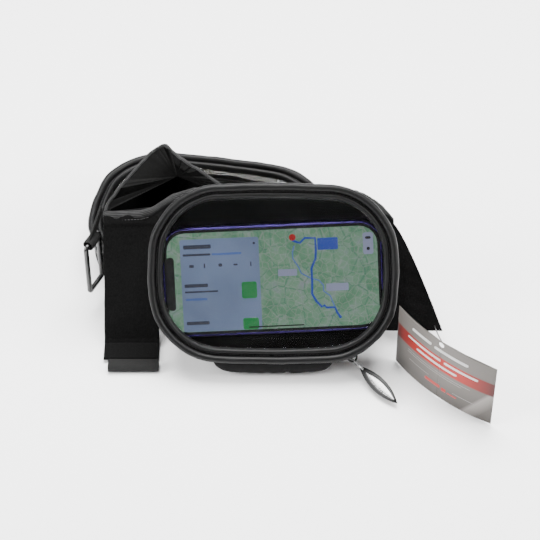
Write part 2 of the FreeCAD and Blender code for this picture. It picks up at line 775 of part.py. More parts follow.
def front_space(name):
    """Everything in front of the saddle sheet's back face, where the collar stops."""
    box = doc.addObject("Part::Box", name)
    box.setExpression("Length", cells("pod_width * 4"))
    box.setExpression("Width", cells("pod_width * 4"))
    box.setExpression("Height", cells("pod_width"))
    middle = Vector(-size("pod_width * 2"), -size("pod_width * 2"), size(f"{sheet_back} - collar_stand"))
    box.Placement = front_place.multiply(Placement(middle, Rotation()))
    return box


def combine(kind, name, base, tool):
    result = doc.addObject(f"Part::{kind}", name)
    result.Base = base
    result.Tool = tool
    return result


right_leg = ("collar_right_turn", "pod_width")
left_leg = ("collar_left_turn", "collar_left_reach")
wall_tall = "collar_top - collar_floor"
for side, (turn, reach) in (("right", right_leg), ("left", left_leg)):
    slab = collar_slab(f"collar_{side}_slab", turn, reach, "collar_wall", "collar_floor", wall_tall)
    slab = combine("Cut", f"collar_{side}_low", slab, rim_slab(f"collar_{side}_sky", "pod_width"))
    slab = combine("Cut", f"collar_{side}_back", slab, front_space(f"collar_{side}_front"))
    if side == "left":
        other = collar_slab("collar_left_meets", right_leg[0], right_leg[1],
                            "collar_wall + seam_gap", "collar_floor", wall_tall)
        slab = combine("Cut", "collar_left_mitre", slab, other)
    keep(f"collar_{side}", slab)
rims = []
for side, (turn, reach) in (("right", right_leg), ("left", left_leg)):
    slab = collar_slab(f"rim_{side}_slab", turn, reach, "collar_binding", "collar_floor",
                       f"{wall_tall} + collar_headroom")
    slab = combine("Common", f"rim_{side}_layer", slab, rim_slab(f"rim_{side}_band", "collar_rim"))
    rims.append(combine("Cut", f"rim_{side}_back", slab, front_space(f"rim_{side}_front")))
keep("collar_binding", combine("Fuse", "collar_binding_whole", rims[0], rims[1]))

# ---------------------------------------------------------------- straps
# the left strap hangs behind the pod's edge and its foot lies on the ground
strap = new_body("left_strap")
sketch = new_sketch(strap, "YZ_Plane", "ear_left + strap_width / 2")
ground = f"{front_high / math.cos(plumb):.6f}"
slope = math.tan(plumb)
top = "ear_low - strap_gap"
rise = math.cos(plumb)
heel_back = f"0 - ( {ground} ) - ( {sheet_back} ) * {slope} + ground_gap / {rise}"
heel_front = f"0 - ( {ground} ) - ( {sheet_face} ) * {slope} + ( sheet_thick + ground_gap ) / {rise}"
toe = (f"{heel_back} - strap_foot * {math.sin(plumb)}", f"{sheet_back} + strap_foot * {math.cos(plumb)}")
add_polygon(sketch, [
    (top, sheet_face),
    (top, sheet_back),
    (heel_back, sheet_back),
    toe,
    (f"{toe[0]} + sheet_thick * {math.cos(plumb)}", f"{toe[1]} + sheet_thick * {math.sin(plumb)}"),
    (heel_front, sheet_face),
])
pad(strap, sketch, "strap_width", symmetric=True)
strap.Placement = front_place
keep("left_strap", strap)

toe_inner = Vector(size("ear_left + strap_width - loop_width"), size(toe[0]), size(toe[1]))
toe_spot = front_place.multVec(toe_inner)
loop = new_body("strap_end_loop")
sketch = new_sketch(loop, "YZ_Plane")
for inset in ("0", "loop_wall"):
    add_polygon(sketch, [
        (f"0 - loop_deep + {inset}", f"0 + {inset}"),
        (f"0 - {inset}", f"0 + {inset}"),
        (f"0 - {inset}", f"loop_tall - {inset}"),
        (f"0 - loop_deep + {inset}", f"loop_tall - {inset}"),
    ])
pad(loop, sketch, "loop_width")
loop_spot = Vector(toe_spot.x, toe_spot.y - size("seam_gap"), size("loop_ground_gap"))
loop.Placement = Placement(loop_spot, Rotation())
keep("strap_end_loop", loop)

wing = new_body("right_strap")
sketch = new_sketch(wing, "XY_Plane", sheet_back)
add_polygon(sketch, [
    ("ear_right - wing_width", top),
    (f"ear_right - wing_width + wing_sweep", f"{top} - wing_long"),
    (f"ear_right + wing_sweep", f"{top} - wing_long"),
    ("ear_right", top),
])
pad(wing, sketch, "sheet_thick")
hole = new_sketch(wing, "XY_Plane", sheet_back)
corner_across = "ear_right + wing_sweep - tie_margin - tie_inset"
corner_up = f"{top} - wing_long + tie_margin"
corner = Vector(size(corner_across), size(corner_up), 0)
tie_hole = "tie_tube + tie_hole_gap"
hole.addGeometry(Part.Circle(corner, Vector(0, 0, 1), size(tie_hole)))
bind(hole, hole.addConstraint(Sketcher.Constraint("Radius", 0, size(tie_hole))), tie_hole)
pin_point(hole, "DistanceX", 0, 3, corner_across, corner.x)
pin_point(hole, "DistanceY", 0, 3, corner_up, corner.y)
pocket(wing, hole, "sheet_thick * 4")
wing.Placement = front_place
keep("right_strap", wing)

# ---------------------------------------------------------------- cinch ring and its tab
# the tab is a webbing sleeve round the ring's top bar, with a tail sewn to the sheet's end
ring_spot = front_place.multVec(Vector(size("ear_left - ring_aside"), size("tab_low"), 0))
ring_top = ring_spot.z - size("ring_drop")
bar_middle = Vector(ring_spot.x, ring_spot.y, ring_top - size("ring_bar / 2"))
ring_turn = math.radians(size("ring_yaw"))
tail_end = (f"ring_aside / {math.cos(ring_turn)} - tab_thick / 2 * {math.tan(ring_turn)}"
            " - seam_gap")
tab = new_body("ring_tab")
sketch = new_sketch(tab, "XY_Plane", "0 - tab_thick / 2")
add_polygon(sketch, [
    ("0 - tab_wide / 2", "( tab_inner + tab_outer ) / 2"),
    ("tab_wide / 2", "( tab_inner + tab_outer ) / 2"),
    (tail_end, "tab_root_low"),
    (tail_end, "tab_root_high"),
])
pad(tab, sketch, "tab_thick")
sleeve = new_sketch(tab, "YZ_Plane")
for order, radius_name in enumerate(("tab_inner", "tab_outer")):
    sleeve.addGeometry(Part.Circle(Vector(0, 0, 0), Vector(0, 0, 1), size(radius_name)))
    sleeve.addConstraint(Sketcher.Constraint("Coincident", order, 3, -1, 1))
    index = sleeve.addConstraint(Sketcher.Constraint("Radius", order, size(radius_name)))
    bind(sleeve, index, radius_name)
pad(tab, sleeve, "tab_wide", symmetric=True)
bar_line = Vector(math.cos(ring_turn), math.sin(ring_turn), 0)
tab.Placement = Placement(bar_middle, Rotation(bar_line, Vector(0, 0, 1), Vector(0, 0, 0), "XYZ"))
keep("ring_tab", tab)

outer = doc.addObject("Part::Box", "ring_outer")
inner = doc.addObject("Part::Box", "ring_slot")
for box, shrink in ((outer, "0"), (inner, "ring_bar")):
    box.setExpression("Length", cells(f"ring_wide - 2 * ( {shrink} )"))
    box.setExpression("Height", cells(f"ring_tall - 2 * ( {shrink} )"))
    box.setExpression("Width", cells("ring_thick"))
    box.Placement = Placement(
        Vector(ring_spot.x, ring_spot.y, ring_top - size("ring_tall") + size(shrink)),
        Rotation(Vector(0, 0, 1), size("ring_yaw"))).multiply(
        Placement(Vector(-size("ring_wide / 2") + size(shrink), -size("ring_thick / 2"), 0), Rotation()))
keep("cinch_ring", combine("Cut", "cinch_ring_whole", outer, inner))

# ---------------------------------------------------------------- hang tag and its tie
tag = new_body("hang_tag")
sketch = new_sketch(tag, "XY_Plane")
half, bow = size("tag_long / 2"), size("tag_bow")
radius = (half * half + bow * bow) / (2 * bow)
spread = math.asin(half / radius)
aim = math.pi / 2
for extra in (0, size("tag_card")):
    circle = Part.Circle(Vector(0, bow - radius, 0), Vector(0, 0, 1), radius + extra)
    sketch.addGeometry(Part.ArcOfCircle(circle, aim - spread, aim + spread))
near, far = sketch.Geometry
sketch.addGeometry(Part.LineSegment(near.EndPoint, far.EndPoint))
sketch.addGeometry(Part.LineSegment(far.StartPoint, near.StartPoint))
for first, second in (((0, 2), (2, 1)), ((2, 2), (1, 2)), ((1, 1), (3, 1)), ((3, 2), (0, 1))):
    sketch.addConstraint(Sketcher.Constraint("Coincident", *first, *second))
sketch.addConstraint(Sketcher.Constraint("Coincident", 0, 3, 1, 3))
sketch.addConstraint(Sketcher.Constraint("PointOnObject", 0, 3, -2))
bow_radius = "( ( tag_long / 2 ) ^ 2 + tag_bow ^ 2 ) / ( 2 * tag_bow )"
bind(sketch, sketch.addConstraint(Sketcher.Constraint("Radius", 0, radius)), bow_radius)
bind(sketch, sketch.addConstraint(Sketcher.Constraint("Radius", 1, radius + size("tag_card"))),
     f"{bow_radius} + tag_card")
pin_point(sketch, "DistanceX", 0, 1, "tag_long / 2", half)
sketch.addConstraint(Sketcher.Constraint("PointOnObject", 0, 1, -1))
pin_point(sketch, "DistanceX", 0, 2, "0 - tag_long / 2", -half)
pin_point(sketch, "DistanceX", 1, 1, "tag_long / 2 + tag_card / 2", far.StartPoint.x)
pin_point(sketch, "DistanceX", 1, 2, "0 - tag_long / 2 - tag_card / 2", far.EndPoint.x)
pad(tag, sketch, "tag_tall")
hole = new_sketch(tag, "XZ_Plane")
spot = size("tag_tall - tag_hole_drop")
hole.addGeometry(Part.Circle(Vector(0, spot, 0), Vector(0, 0, 1), size("tag_hole")))
bind(hole, hole.addConstraint(Sketcher.Constraint("Radius", 0, size("tag_hole"))), "tag_hole")
hole.addConstraint(Sketcher.Constraint("PointOnObject", 0, 3, -2))
pin_point(hole, "DistanceY", 0, 3, "tag_tall - tag_hole_drop", spot)
pocket(tag, hole, "tag_long")
tag_spot = Vector(size("tag_side"), size("tag_near"), size("ground_gap"))
tag_place = Placement(tag_spot, Rotation(Vector(0, 0, 1), size("tag_yaw")))
tag.Placement = tag_place
keep("hang_tag", tag)

tie_start = front_place.multVec(Vector(corner.x, corner.y, size(sheet_face) - size("sheet_thick / 2")))
tie_end = tag_place.multVec(Vector(0, size("tag_bow"), spot))
line = tie_end - tie_start
tie = doc.addObject("Part::Cylinder", "tag_tie")
tie.setExpression("Radius", cells("tie_tube"))
tie.Height = line.Length - size("tie_gap")
tie.Placement = Placement(tie_start, Rotation(Vector(0, 0, 1), line))
keep("tag_tie", tie)

# ---------------------------------------------------------------- check, then write
doc.recompute()
faults = [item.Name for item in doc.Objects if {"Invalid", "Error"} & set(item.State)]
for name, shape_object in parts.items():
    shape = shape_object.Shape
    if shape.isNull() or not shape.isValid() or not shape.Solids:
        faults.append(name)
if faults:
    raise SystemExit("not built: " + ", ".join(faults))
os.makedirs("parts", exist_ok=True)
for name, shape_object in parts.items():
    shape_object.Shape.exportStep(os.path.join("parts", f"{name}.step"))
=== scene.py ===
"""Looks of the two-pod tank bag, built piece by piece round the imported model.

Metres, +Z up, +Y away from the front window. Sizes inside a section are in
millimetres and become metres where the mesh is made.
"""
import json
import math

import bpy
import numpy as np
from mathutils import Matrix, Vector


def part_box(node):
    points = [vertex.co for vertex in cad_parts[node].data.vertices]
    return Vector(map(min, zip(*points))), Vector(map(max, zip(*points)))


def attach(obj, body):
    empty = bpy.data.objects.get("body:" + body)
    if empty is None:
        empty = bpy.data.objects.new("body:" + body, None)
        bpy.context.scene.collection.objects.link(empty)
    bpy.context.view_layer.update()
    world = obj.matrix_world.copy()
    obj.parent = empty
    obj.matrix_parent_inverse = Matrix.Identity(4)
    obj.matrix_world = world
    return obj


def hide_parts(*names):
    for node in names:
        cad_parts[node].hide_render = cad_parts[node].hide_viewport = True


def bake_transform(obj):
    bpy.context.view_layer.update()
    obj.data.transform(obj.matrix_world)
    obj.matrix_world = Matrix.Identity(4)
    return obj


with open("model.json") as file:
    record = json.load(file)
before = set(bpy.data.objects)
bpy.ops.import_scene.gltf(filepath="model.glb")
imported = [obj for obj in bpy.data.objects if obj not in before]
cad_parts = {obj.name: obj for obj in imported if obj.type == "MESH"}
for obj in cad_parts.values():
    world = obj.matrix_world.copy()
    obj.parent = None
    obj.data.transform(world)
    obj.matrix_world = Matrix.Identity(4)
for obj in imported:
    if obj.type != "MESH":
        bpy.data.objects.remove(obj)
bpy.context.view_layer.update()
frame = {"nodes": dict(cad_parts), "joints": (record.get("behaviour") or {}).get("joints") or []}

# ------------------------------------------------------------------ camera
# Looks down at 45 degrees from the front, far off with a long lens, so the
# front pod is seen almost square on to its window.
look_at = Vector((0.0453, -0.078, 0.055))
lens_line = Vector((0, -math.cos(math.radians(45)), math.sin(math.radians(45))))
camera_data = bpy.data.cameras.new("camera")
camera_data.sensor_width = 36
camera_data.lens = 125.7
camera = bpy.data.objects.new("camera", camera_data)
bpy.context.scene.collection.objects.link(camera)
camera.location = look_at + lens_line * 1.3
camera.rotation_euler = (-lens_line).to_track_quat("-Z", "Y").to_euler()
bpy.context.scene.camera = camera

# ------------------------------------------------------------------ pod walls
# Each pod is a shallow box of coated polyester cloth over foam board: a back,
# a soft side wall sewn to it, open at the top where the zip begins.
# The cloth is stitched round the back's edge and turned over inside.


def unit(rows):
    """Each vector divided by its own length."""
    return rows / np.maximum(np.linalg.norm(rows, axis=-1, keepdims=True), 1e-9)


def waves(points, size, height, seed, layers=3):
    """Soft unevenness: sines in seeded directions, each layer half as long and half as high."""
    dice = np.random.default_rng(seed)
    total = np.zeros(points.shape[:-1])
    for layer in range(layers):
        for _ in range(4):
            way = unit(dice.normal(size=points.shape[-1])) * 2 * math.pi / (size / 2**layer)
            total += np.sin(points @ way + dice.uniform(0, 2 * math.pi)) * 0.5**layer
    return height * total / 4


def grid_piece(name, points, around=False, along=False, caps=False):
    """A mesh with one face between each four neighbours of a grid of points in millimetres.

    points is (rows, columns, 3), or a batch of such grids. The grid may close on itself
    around its columns or along its rows, and caps fans its first and last row to a middle
    point. The UV map is the length run over the surface, in metres. A closed mesh whose
    signed volume comes out negative has its faces turned round.
    """
    points = np.asarray(points, float) / 1000
    if points.ndim == 3:
        points = points[None]
    batch, rows, columns = points.shape[:3]
    row, column = np.meshgrid(np.arange(rows - 1 + along), np.arange(columns - 1 + around),
                              indexing="ij")
    four_rows = np.stack([row, row, row + 1, row + 1], -1).reshape(-1, 4)
    four_columns = np.stack([column, column + 1, column + 1, column], -1).reshape(-1, 4)
    quads = (four_rows % rows) * columns + four_columns % columns
    middle = points[0]
    across = np.linalg.norm(np.diff(np.concatenate([middle, middle[:, :1]], 1), axis=1), axis=-1)
    down = np.linalg.norm(np.diff(np.concatenate([middle, middle[:1]], 0), axis=0), axis=-1)
    run = np.append(0, np.cumsum(across.max(0)))
    fall = np.append(0, np.cumsum(np.median(down, 1)))
    spots = np.stack([run[four_columns], fall[four_rows]], -1)
    offsets = np.arange(batch)[:, None, None] * (rows * columns)
    faces = (quads[None] + offsets).reshape(-1, 4)
    spots = np.broadcast_to(spots[None], (batch,) + spots.shape).reshape(-1, 2)
    vertices = points.reshape(-1, 3)
    fans, fan_spots = np.zeros((0, 3), int), np.zeros((0, 2))
    if caps:
        ring = np.arange(columns)
        for end, first in ((0, True), (rows - 1, False)):
            hub = len(vertices) + np.arange(batch)[:, None]
            vertices = np.concatenate([vertices, points[:, end].mean(1)])
            start = offsets[:, 0] + end * columns
            near, far = start + ring, start + (ring + 1) % columns
            hubs = np.broadcast_to(hub, near.shape)
            order = (far, near, hubs) if first else (near, far, hubs)
            fans = np.concatenate([fans, np.stack(order, -1).reshape(-1, 3)])
            ends = (run[ring + 1], run[ring]) if first else (run[ring], run[ring + 1])
            tip = fall[end] + (-1 if first else 1) * 0.3 * run[-1] / math.pi
            spot = np.stack([np.stack([ends[0], fall[end] + 0 * ring], -1),
                             np.stack([ends[1], fall[end] + 0 * ring], -1),
                             np.stack([run[ring], tip + 0 * ring], -1)], 1)
            fan_spots = np.concatenate([fan_spots, np.tile(spot.reshape(-1, 2), (batch, 1))])
    corners = vertices[faces]
    volume = np.einsum("ij,ij->", corners[:, 0],
                       np.cross(corners[:, 1], corners[:, 2])
                       + np.cross(corners[:, 2], corners[:, 3]))
    turned = volume < 0
    if turned:
        faces, spots = faces[:, ::-1], spots.reshape(-1, 4, 2)[:, ::-1].reshape(-1, 2)
        fans, fan_spots = fans[:, ::-1], fan_spots.reshape(-1, 3, 2)[:, ::-1].reshape(-1, 2)
    mesh = bpy.data.meshes.new(name)
    mesh.from_pydata(vertices.tolist(), [], faces.tolist() + fans.tolist())
    layer = mesh.uv_layers.new(name="run")
    layer.data.foreach_set("uv", np.concatenate([spots, fan_spots]).astype(np.float32).ravel())
    mesh.shade_smooth()
    piece = bpy.data.objects.new(name, mesh)
    bpy.context.scene.collection.objects.link(piece)
    return piece


def finish_piece(piece, material, body, slot, *nodes):
    """Give a piece its material and its body, and hide the plain solids it stands for; slot is not
    used.
    """
    piece.data.materials.clear()
    piece.data.materials.append(material)
    if body:
        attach(piece, body)
    if nodes:
        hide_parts(*nodes)
    return piece


pod_half_wide, pod_half_tall, pod_corner = 85.0, 61.5, 50.0
turns = np.radians(np.concatenate([[-90], np.arange(-90, 1, 3), np.arange(0, 91, 3),
                                   np.arange(90, 181, 3), np.arange(180, 271, 3), [270]]))
middles = np.repeat([(0, -1), (1, -1), (1, 1), (-1, 1), (-1, -1), (0, -1)], [1, 31, 31, 31, 31, 1],
                    axis=0)
table_points = (middles * [pod_half_wide - pod_corner, pod_half_tall - pod_corner]
                + pod_corner * np.stack([np.cos(turns), np.sin(turns)], -1))
table_points[[0, -1]] = [0, -pod_half_tall]
table_run = np.append(0, np.cumsum(np.linalg.norm(np.diff(table_points, axis=0), axis=1)))
pod_round = table_run[-1]


def edge(places):
    """Points and outward directions on the pod's outline, at lengths run from its bottom middle.

    Straight sides joined by quarter circles; the straight sides bow out a little, by a
    parabola that is nil where the corners start.
    """
    places = np.mod(places, pod_round)
    point = np.stack([np.interp(places, table_run, table_points[:, axis]) for axis in (0, 1)], -1)
    out = unit(np.stack([np.interp(places, table_run, bend(turns)) for bend in (np.cos, np.sin)],
                        -1))
    flat_wide = np.clip(1 - (point[:, 0] / (pod_half_wide - pod_corner)) ** 2, 0,
                        None) * (np.abs(out[:, 1]) > 0.99)
    flat_tall = np.clip(1 - (point[:, 1] / (pod_half_tall - pod_corner)) ** 2, 0,
                        None) * (np.abs(out[:, 0]) > 0.99)
    return point + out * (0.9 * flat_wide + 0.5 * flat_tall)[:, None], out


def carried(places, profile):
    """A profile of (inset, height) pairs carried along the outline: one column for each place."""
    point, out = edge(places)
    profile = np.asarray(profile, float)
    flat = point[None] - out[None] * profile[:, :1, None]
    return np.concatenate([flat, np.broadcast_to(profile[:, 1:, None], flat.shape[:2] + (1,))], -1)


def to_middle(ring, shares):
    """Copies of a ring drawn in towards the pod's middle line, by each share of its size."""
    return ring[None] * np.stack([shares, shares, np.ones(len(shares))], -1)[:, None]


pods = {}
for side in ("rear", "front"):
    run_joint = next(joint for joint in frame["joints"] if joint["name"] == f"{side}_zip_run")
    facing = unit(np.array(run_joint["axis"], float))
    low, high = (np.array(corner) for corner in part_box(f"{side}_back_panel"))
    start = (low + high) / 2 - 0.00125 * facing
    arm = np.array(run_joint["pos_m"]) - start
    arm -= facing * (arm @ facing)
    swing = math.atan2(-(pod_half_tall - pod_corner), pod_half_wide - pod_corner)
    across = unit(math.cos(swing) * arm - math.sin(swing) * np.cross(facing, arm))
    pods[side] = (start * 1000, np.stack([across, np.cross(facing, across), facing]))


def placed(side, points):
    """Points in a pod's own frame (across, up, out of the window), set in the object's frame."""
    start, axes = pods[side]
    return start + np.asarray(points) @ axes


def start_material(name):
    """A new material: it, its shader, and a function that adds a node with settings and inputs."""
    material = bpy.data.materials.new(name)
    material.use_nodes = True
    nodes, links = material.node_tree.nodes, material.node_tree.links

    def add(kind, inputs=(), **settings):
        node = nodes.new(kind)
        for key, value in settings.items():
            setattr(node, key, value)
        for key, value in dict(inputs).items():
            join(node.inputs[key], value)
        return node

    def join(socket, value):
        if isinstance(value, bpy.types.NodeSocket):
            links.new(value, socket)
        elif isinstance(value, tuple) and socket.type == "RGBA" and len(value) == 3:
            socket.default_value = (*value, 1)
        else:
            socket.default_value = value

    add.join = join
    return material, nodes["Principled BSDF"], add


def ramp(add, source, *stops):
    """A value run through a colour ramp: pairs of (place, grey or colour)."""
    node = add("ShaderNodeValToRGB", {0: source})
    bar = node.color_ramp.elements
    while len(bar) < len(stops):
        bar.new(0.5)
    for element, (place, colour) in zip(bar, stops):
        element.position = place
        element.color = (colour,) * 3 + (1,) if isinstance(colour, (int, float)) else (*colour, 1)
    return node.outputs[0]


def mixed(add, share, first, second, how="MIX"):
    """A colour between two others, by a share from 0 to 1."""
    return add("ShaderNodeMix", {0: share, 6: first, 7: second}, data_type="RGBA",
               blend_type=how).outputs[2]


def maths(add, how, first, second=0.0):
    """One sum of two values."""
    return add("ShaderNodeMath", {0: first, 1: second}, operation=how).outputs[0]


def noise(add, place, scale, detail=3.0, rough=0.5):
    """A cloudy value from 0 to 1, in features about 1 / scale metres wide."""
    return add("ShaderNodeTexNoise", {"Vector": place, "Scale": scale, "Detail": detail,
                                      "Roughness": rough}).outputs[0]


def bump(add, height, strength, depth, under=None):
    """Bumps of a height value, as deep as given in metres, over another bump."""
    inputs = {"Height": height, "Strength": strength, "Distance": depth}
    if under:
        inputs["Normal"] = under
    return add("ShaderNodeBump", inputs).outputs[0]


def rows(add, place, pitch, way="X"):
    """A smooth wave from 0 to 1 along one direction of a place, one crest each pitch."""
    axis = add("ShaderNodeSeparateXYZ", {0: place}).outputs[way]
    turn = maths(add, "SINE", maths(add, "MULTIPLY", axis, 2 * math.pi / pitch))
    return maths(add, "ADD", maths(add, "MULTIPLY", turn, 0.5), 0.5)


def cloth(name, dark, light, thread, roughness, sheen, crease=0.3, weave=0.35):
    """Plain woven cloth: threads over and under each other, from the product of two waves of
    the UV run; soft blotches of wear by noise in place, and fine creases in the bump."""
    material, shader, add = start_material(name)
    coordinates = add("ShaderNodeTexCoord").outputs
    woven = maths(add, "MULTIPLY", rows(add, coordinates["UV"], thread, "X"),
                  rows(add, coordinates["UV"], thread, "Y"))
    blotch = noise(add, coordinates["Object"], 38, 4)
    fine = noise(add, coordinates["Object"], 520, 3)
    tone = mixed(add, ramp(add, blotch, (0.35, 0.0), (0.7, 1.0)), dark, light)
    add.join(shader.inputs["Base Color"],
             mixed(add, maths(add, "MULTIPLY", woven, 0.35), tone, (0.0, 0.0, 0.0)))
    shader.inputs["Specular IOR Level"].default_value = 0.08
    add.join(shader.inputs["Roughness"],
             ramp(add, fine, (0.2, roughness - 0.09), (0.8, roughness + 0.09)))
    shader.inputs["Sheen Weight"].default_value = sheen
    shader.inputs["Sheen Roughness"].default_value = 0.45
    creases = bump(add, blotch, crease, 0.0009)
    add.join(shader.inputs["Normal"], bump(add, woven, weave, 0.00012, creases))
    return material


pod_cloth = cloth("coated_polyester", (0.002, 0.002, 0.0021), (0.005, 0.005, 0.0052), 0.00055,
                  0.62, 0.012)
places = np.linspace(0, pod_round, 500, endpoint=False)
wall = [(9.5, 0.0), (7.2, 0.05), (5.4, 0.5), (4.2, 1.6), (3.6, 3.2), (3.2, 5.5), (3.0, 8.0),
        (3.0, 10.5),
        (3.2, 13.0), (3.6, 15.3), (4.1, 16.0), (4.9, 15.9), (5.5, 15.0), (5.8, 12.0), (5.9, 8.0),
        (6.6, 5.9)]
for side, body in (("rear", "rear_pod"), ("front", "front_pod")):
    rings = carried(places, wall)
    soft = waves(rings * [1, 1, 1.6], 34, 0.42, 11) * np.interp(np.arange(len(wall)),
                                                                [1, 5, 8, 12], [0, 1, 0.7, 0])[:,
                                                                None]
    point, out = edge(places)
    rings[..., :2] += out[None] * soft[..., None]
    under = to_middle(rings[0], np.array([0.04, 0.35, 0.7, 0.93]))
    floor_in = to_middle(rings[-1], np.array([0.93, 0.7, 0.35, 0.04]))
    floor_in[..., 2] += waves(floor_in, 60, 0.3, 5)
    shell = grid_piece(f"{side}_pod_shell", placed(side, np.concatenate([under, rings, floor_in])),
                       around=True, caps=True)
    finish_piece(shell, pod_cloth, body, "pod_nylon", f"{side}_back_panel", f"{side}_stiffener",
                 f"{side}_gusset")

# ------------------------------------------------------------------ zip tape
# Two woven tapes run from the wall and from the lid to the coil, 0.7 mm thick.
# They are stitched to the cloth and stop on each side of the hinge panel.
zip_ends = (42.2, pod_round - 42.2)
tape_places = np.linspace(*zip_ends, 420)
lower_tape = [(3.5, 14.8), (2.9, 17.0), (2.3, 19.4), (2.3, 20.4), (3.0, 20.6), (3.5, 19.0),
              (4.2, 16.6), (4.9, 14.9)]
upper_tape = [(inset, 43.5 - height) for inset, height in lower_tape]
tape_cloth = cloth("zip_tape", (0.003, 0.003, 0.0032), (0.007, 0.007, 0.0073), 0.0009, 0.7, 0.02,
                   0.1, 0.6)
for side, wall_body, lid_body in (("rear", "rear_pod", "rear_pod"),
                                  ("front", "front_pod", "front_lid")):
    for part, profile, body in (("body", lower_tape, wall_body), ("lid", upper_tape, lid_body)):
        band = np.swapaxes(carried(tape_places, profile), 0, 1)
        tape = grid_piece(f"{side}_tape_{part}", placed(side, band), around=True, caps=True)
        finish_piece(tape, tape_cloth, body, "zip_tape", f"{side}_zip_tape_{part}")

# ------------------------------------------------------------------ zip coil
# A nylon monofilament is wound into loops and sewn along each tape's edge.
# The loops of the two tapes mesh half a pitch apart, like a row of slanted bars.
pitch = 1.35


def tube(points, radius, sides, hint, flatten=1.0):
    """Round sections carried along lines: (..., points, 3) becomes (..., points, sides, 3).

    Each section is a circle in the plane of the hint direction and the direction square to
    both it and the line, squeezed across the hint by flatten. radius may vary along the line."""
    points = np.asarray(points, float)
    ahead = unit(np.gradient(points, axis=-2))
    side_way = unit(np.broadcast_to(hint, points.shape) - ahead
                    * (np.broadcast_to(hint, points.shape) * ahead).sum(-1, keepdims=True))
    up_way = np.cross(ahead, side_way)
    turn = np.linspace(0, 2 * math.pi, sides, endpoint=False)[:, None]
    size = np.broadcast_to(radius, points.shape[:-1])[..., None, None]
    return points[..., None, :] + size * (np.cos(turn) * side_way[..., None, :] * flatten
                                          + np.sin(turn) * up_way[..., None, :])


tooth_line = np.array([(3.0, 19.0), (2.3, 19.7), (1.95, 20.6), (1.9, 21.4), (2.1, 22.2),
                       (2.6, 22.7)])
tooth_thick = [0.3, 0.36, 0.4, 0.42, 0.4, 0.28]


def teeth(places, line):
    """One bent bar at each place along the zip, from a line of (inset, height) pairs."""
    point, out = edge(places)
    flat = point[:, None] - out[:, None] * line[None, :, :1]
    bars = np.concatenate([flat, np.broadcast_to(line[None, :, 1:], flat.shape[:2] + (1,))], -1)
    along = np.concatenate([-out[:, 1:], out[:, :1], 0.25 + 0 * out[:, :1]], -1)
    return tube(bars, np.array(tooth_thick), 6, along[:, None, :])


coil_nylon, shader, add = start_material("coil_nylon")
coordinates = add("ShaderNodeTexCoord").outputs
add.join(shader.inputs["Base Color"], ramp(add, noise(add, coordinates["Object"], 300),
                                           (0.3, 0.03), (0.7, 0.06)))
add.join(shader.inputs["Roughness"], ramp(add, noise(add, coordinates["Object"], 900), (0.3, 0.28),
                                          (0.7, 0.45)))
add.join(shader.inputs["Normal"], bump(add, noise(add, coordinates["Object"], 2500), 0.2, 0.00005))
for side, wall_body, lid_body in (("rear", "rear_pod", "rear_pod"),
                                  ("front", "front_pod", "front_lid")):
    for part, shift, line, body in (("body", 0, tooth_line, wall_body),
                                    ("lid", pitch / 2, tooth_line * [1, -1] + [0, 43.5], lid_body)):
        bars = teeth(np.arange(zip_ends[0] + shift, zip_ends[1], pitch), line)
        coil = grid_piece(f"{side}_coil_{part}", placed(side, bars), around=True, caps=True)
        finish_piece(coil, coil_nylon, body, "zip_coil", f"{side}_zip_coil_{part}")

# ------------------------------------------------------------------ lid rim
# The lid's frame is leathercloth over two soft cords: a thick piping round the
# outside and a thinner one beside the film, with a stitched groove between.
# Below it a short side of the same cloth reaches down to the zip.


def bead_arc(inset, height, radius, start, stop, count):
    """Points of a profile on a circle: angle 0 points out of the pod, 90 up out of the window."""
    angle = np.radians(np.linspace(start, stop, count))
    return np.stack([inset - radius * np.cos(angle), height + radius * np.sin(angle)], -1)


rim_profile = np.concatenate([
    [(4.6, 26.9), (3.9, 27.0), (3.5, 27.9), (3.5, 29.4), (3.3, 30.4)],
    bead_arc(2.6, 33.6, 2.6, -68, 190, 15),
    [(5.55, 32.3), (6.1, 32.1)],
    bead_arc(8.2, 32.8, 1.8, 18, 172, 9),
    [(10.15, 31.7), (10.5, 30.8), (10.3, 29.9), (9.0, 29.5), (6.6, 29.4), (5.8, 28.4), (5.6, 27.2)],
])
rim_leathercloth, shader, add = start_material("rim_leathercloth")
coordinates = add("ShaderNodeTexCoord").outputs
grain = add("ShaderNodeTexVoronoi", {"Vector": coordinates["Object"], "Scale": 1150.0},
            feature="DISTANCE_TO_EDGE").outputs[0]
pits = ramp(add, grain, (0.0, 0.0), (0.16, 1.0))
wear = noise(add, coordinates["Object"], 60, 5)
add.join(shader.inputs["Base Color"], mixed(add, pits, (0.004, 0.004, 0.004),
                                            ramp(add, wear, (0.35, (0.002, 0.002, 0.0021)),
                                                 (0.75, (0.005, 0.005, 0.0052)))))
shader.inputs["Specular IOR Level"].default_value = 0.11
add.join(shader.inputs["Roughness"], ramp(add, wear, (0.3, 0.36), (0.75, 0.52)))
shader.inputs["Coat Weight"].default_value = 0.12
shader.inputs["Coat Roughness"].default_value = 0.4
folds = bump(add, noise(add, coordinates["Object"], 160, 2), 0.35, 0.0007)
add.join(shader.inputs["Normal"], bump(add, pits, 0.4, 0.00012, folds))
rim_places = np.linspace(0, pod_round, 620, endpoint=False)
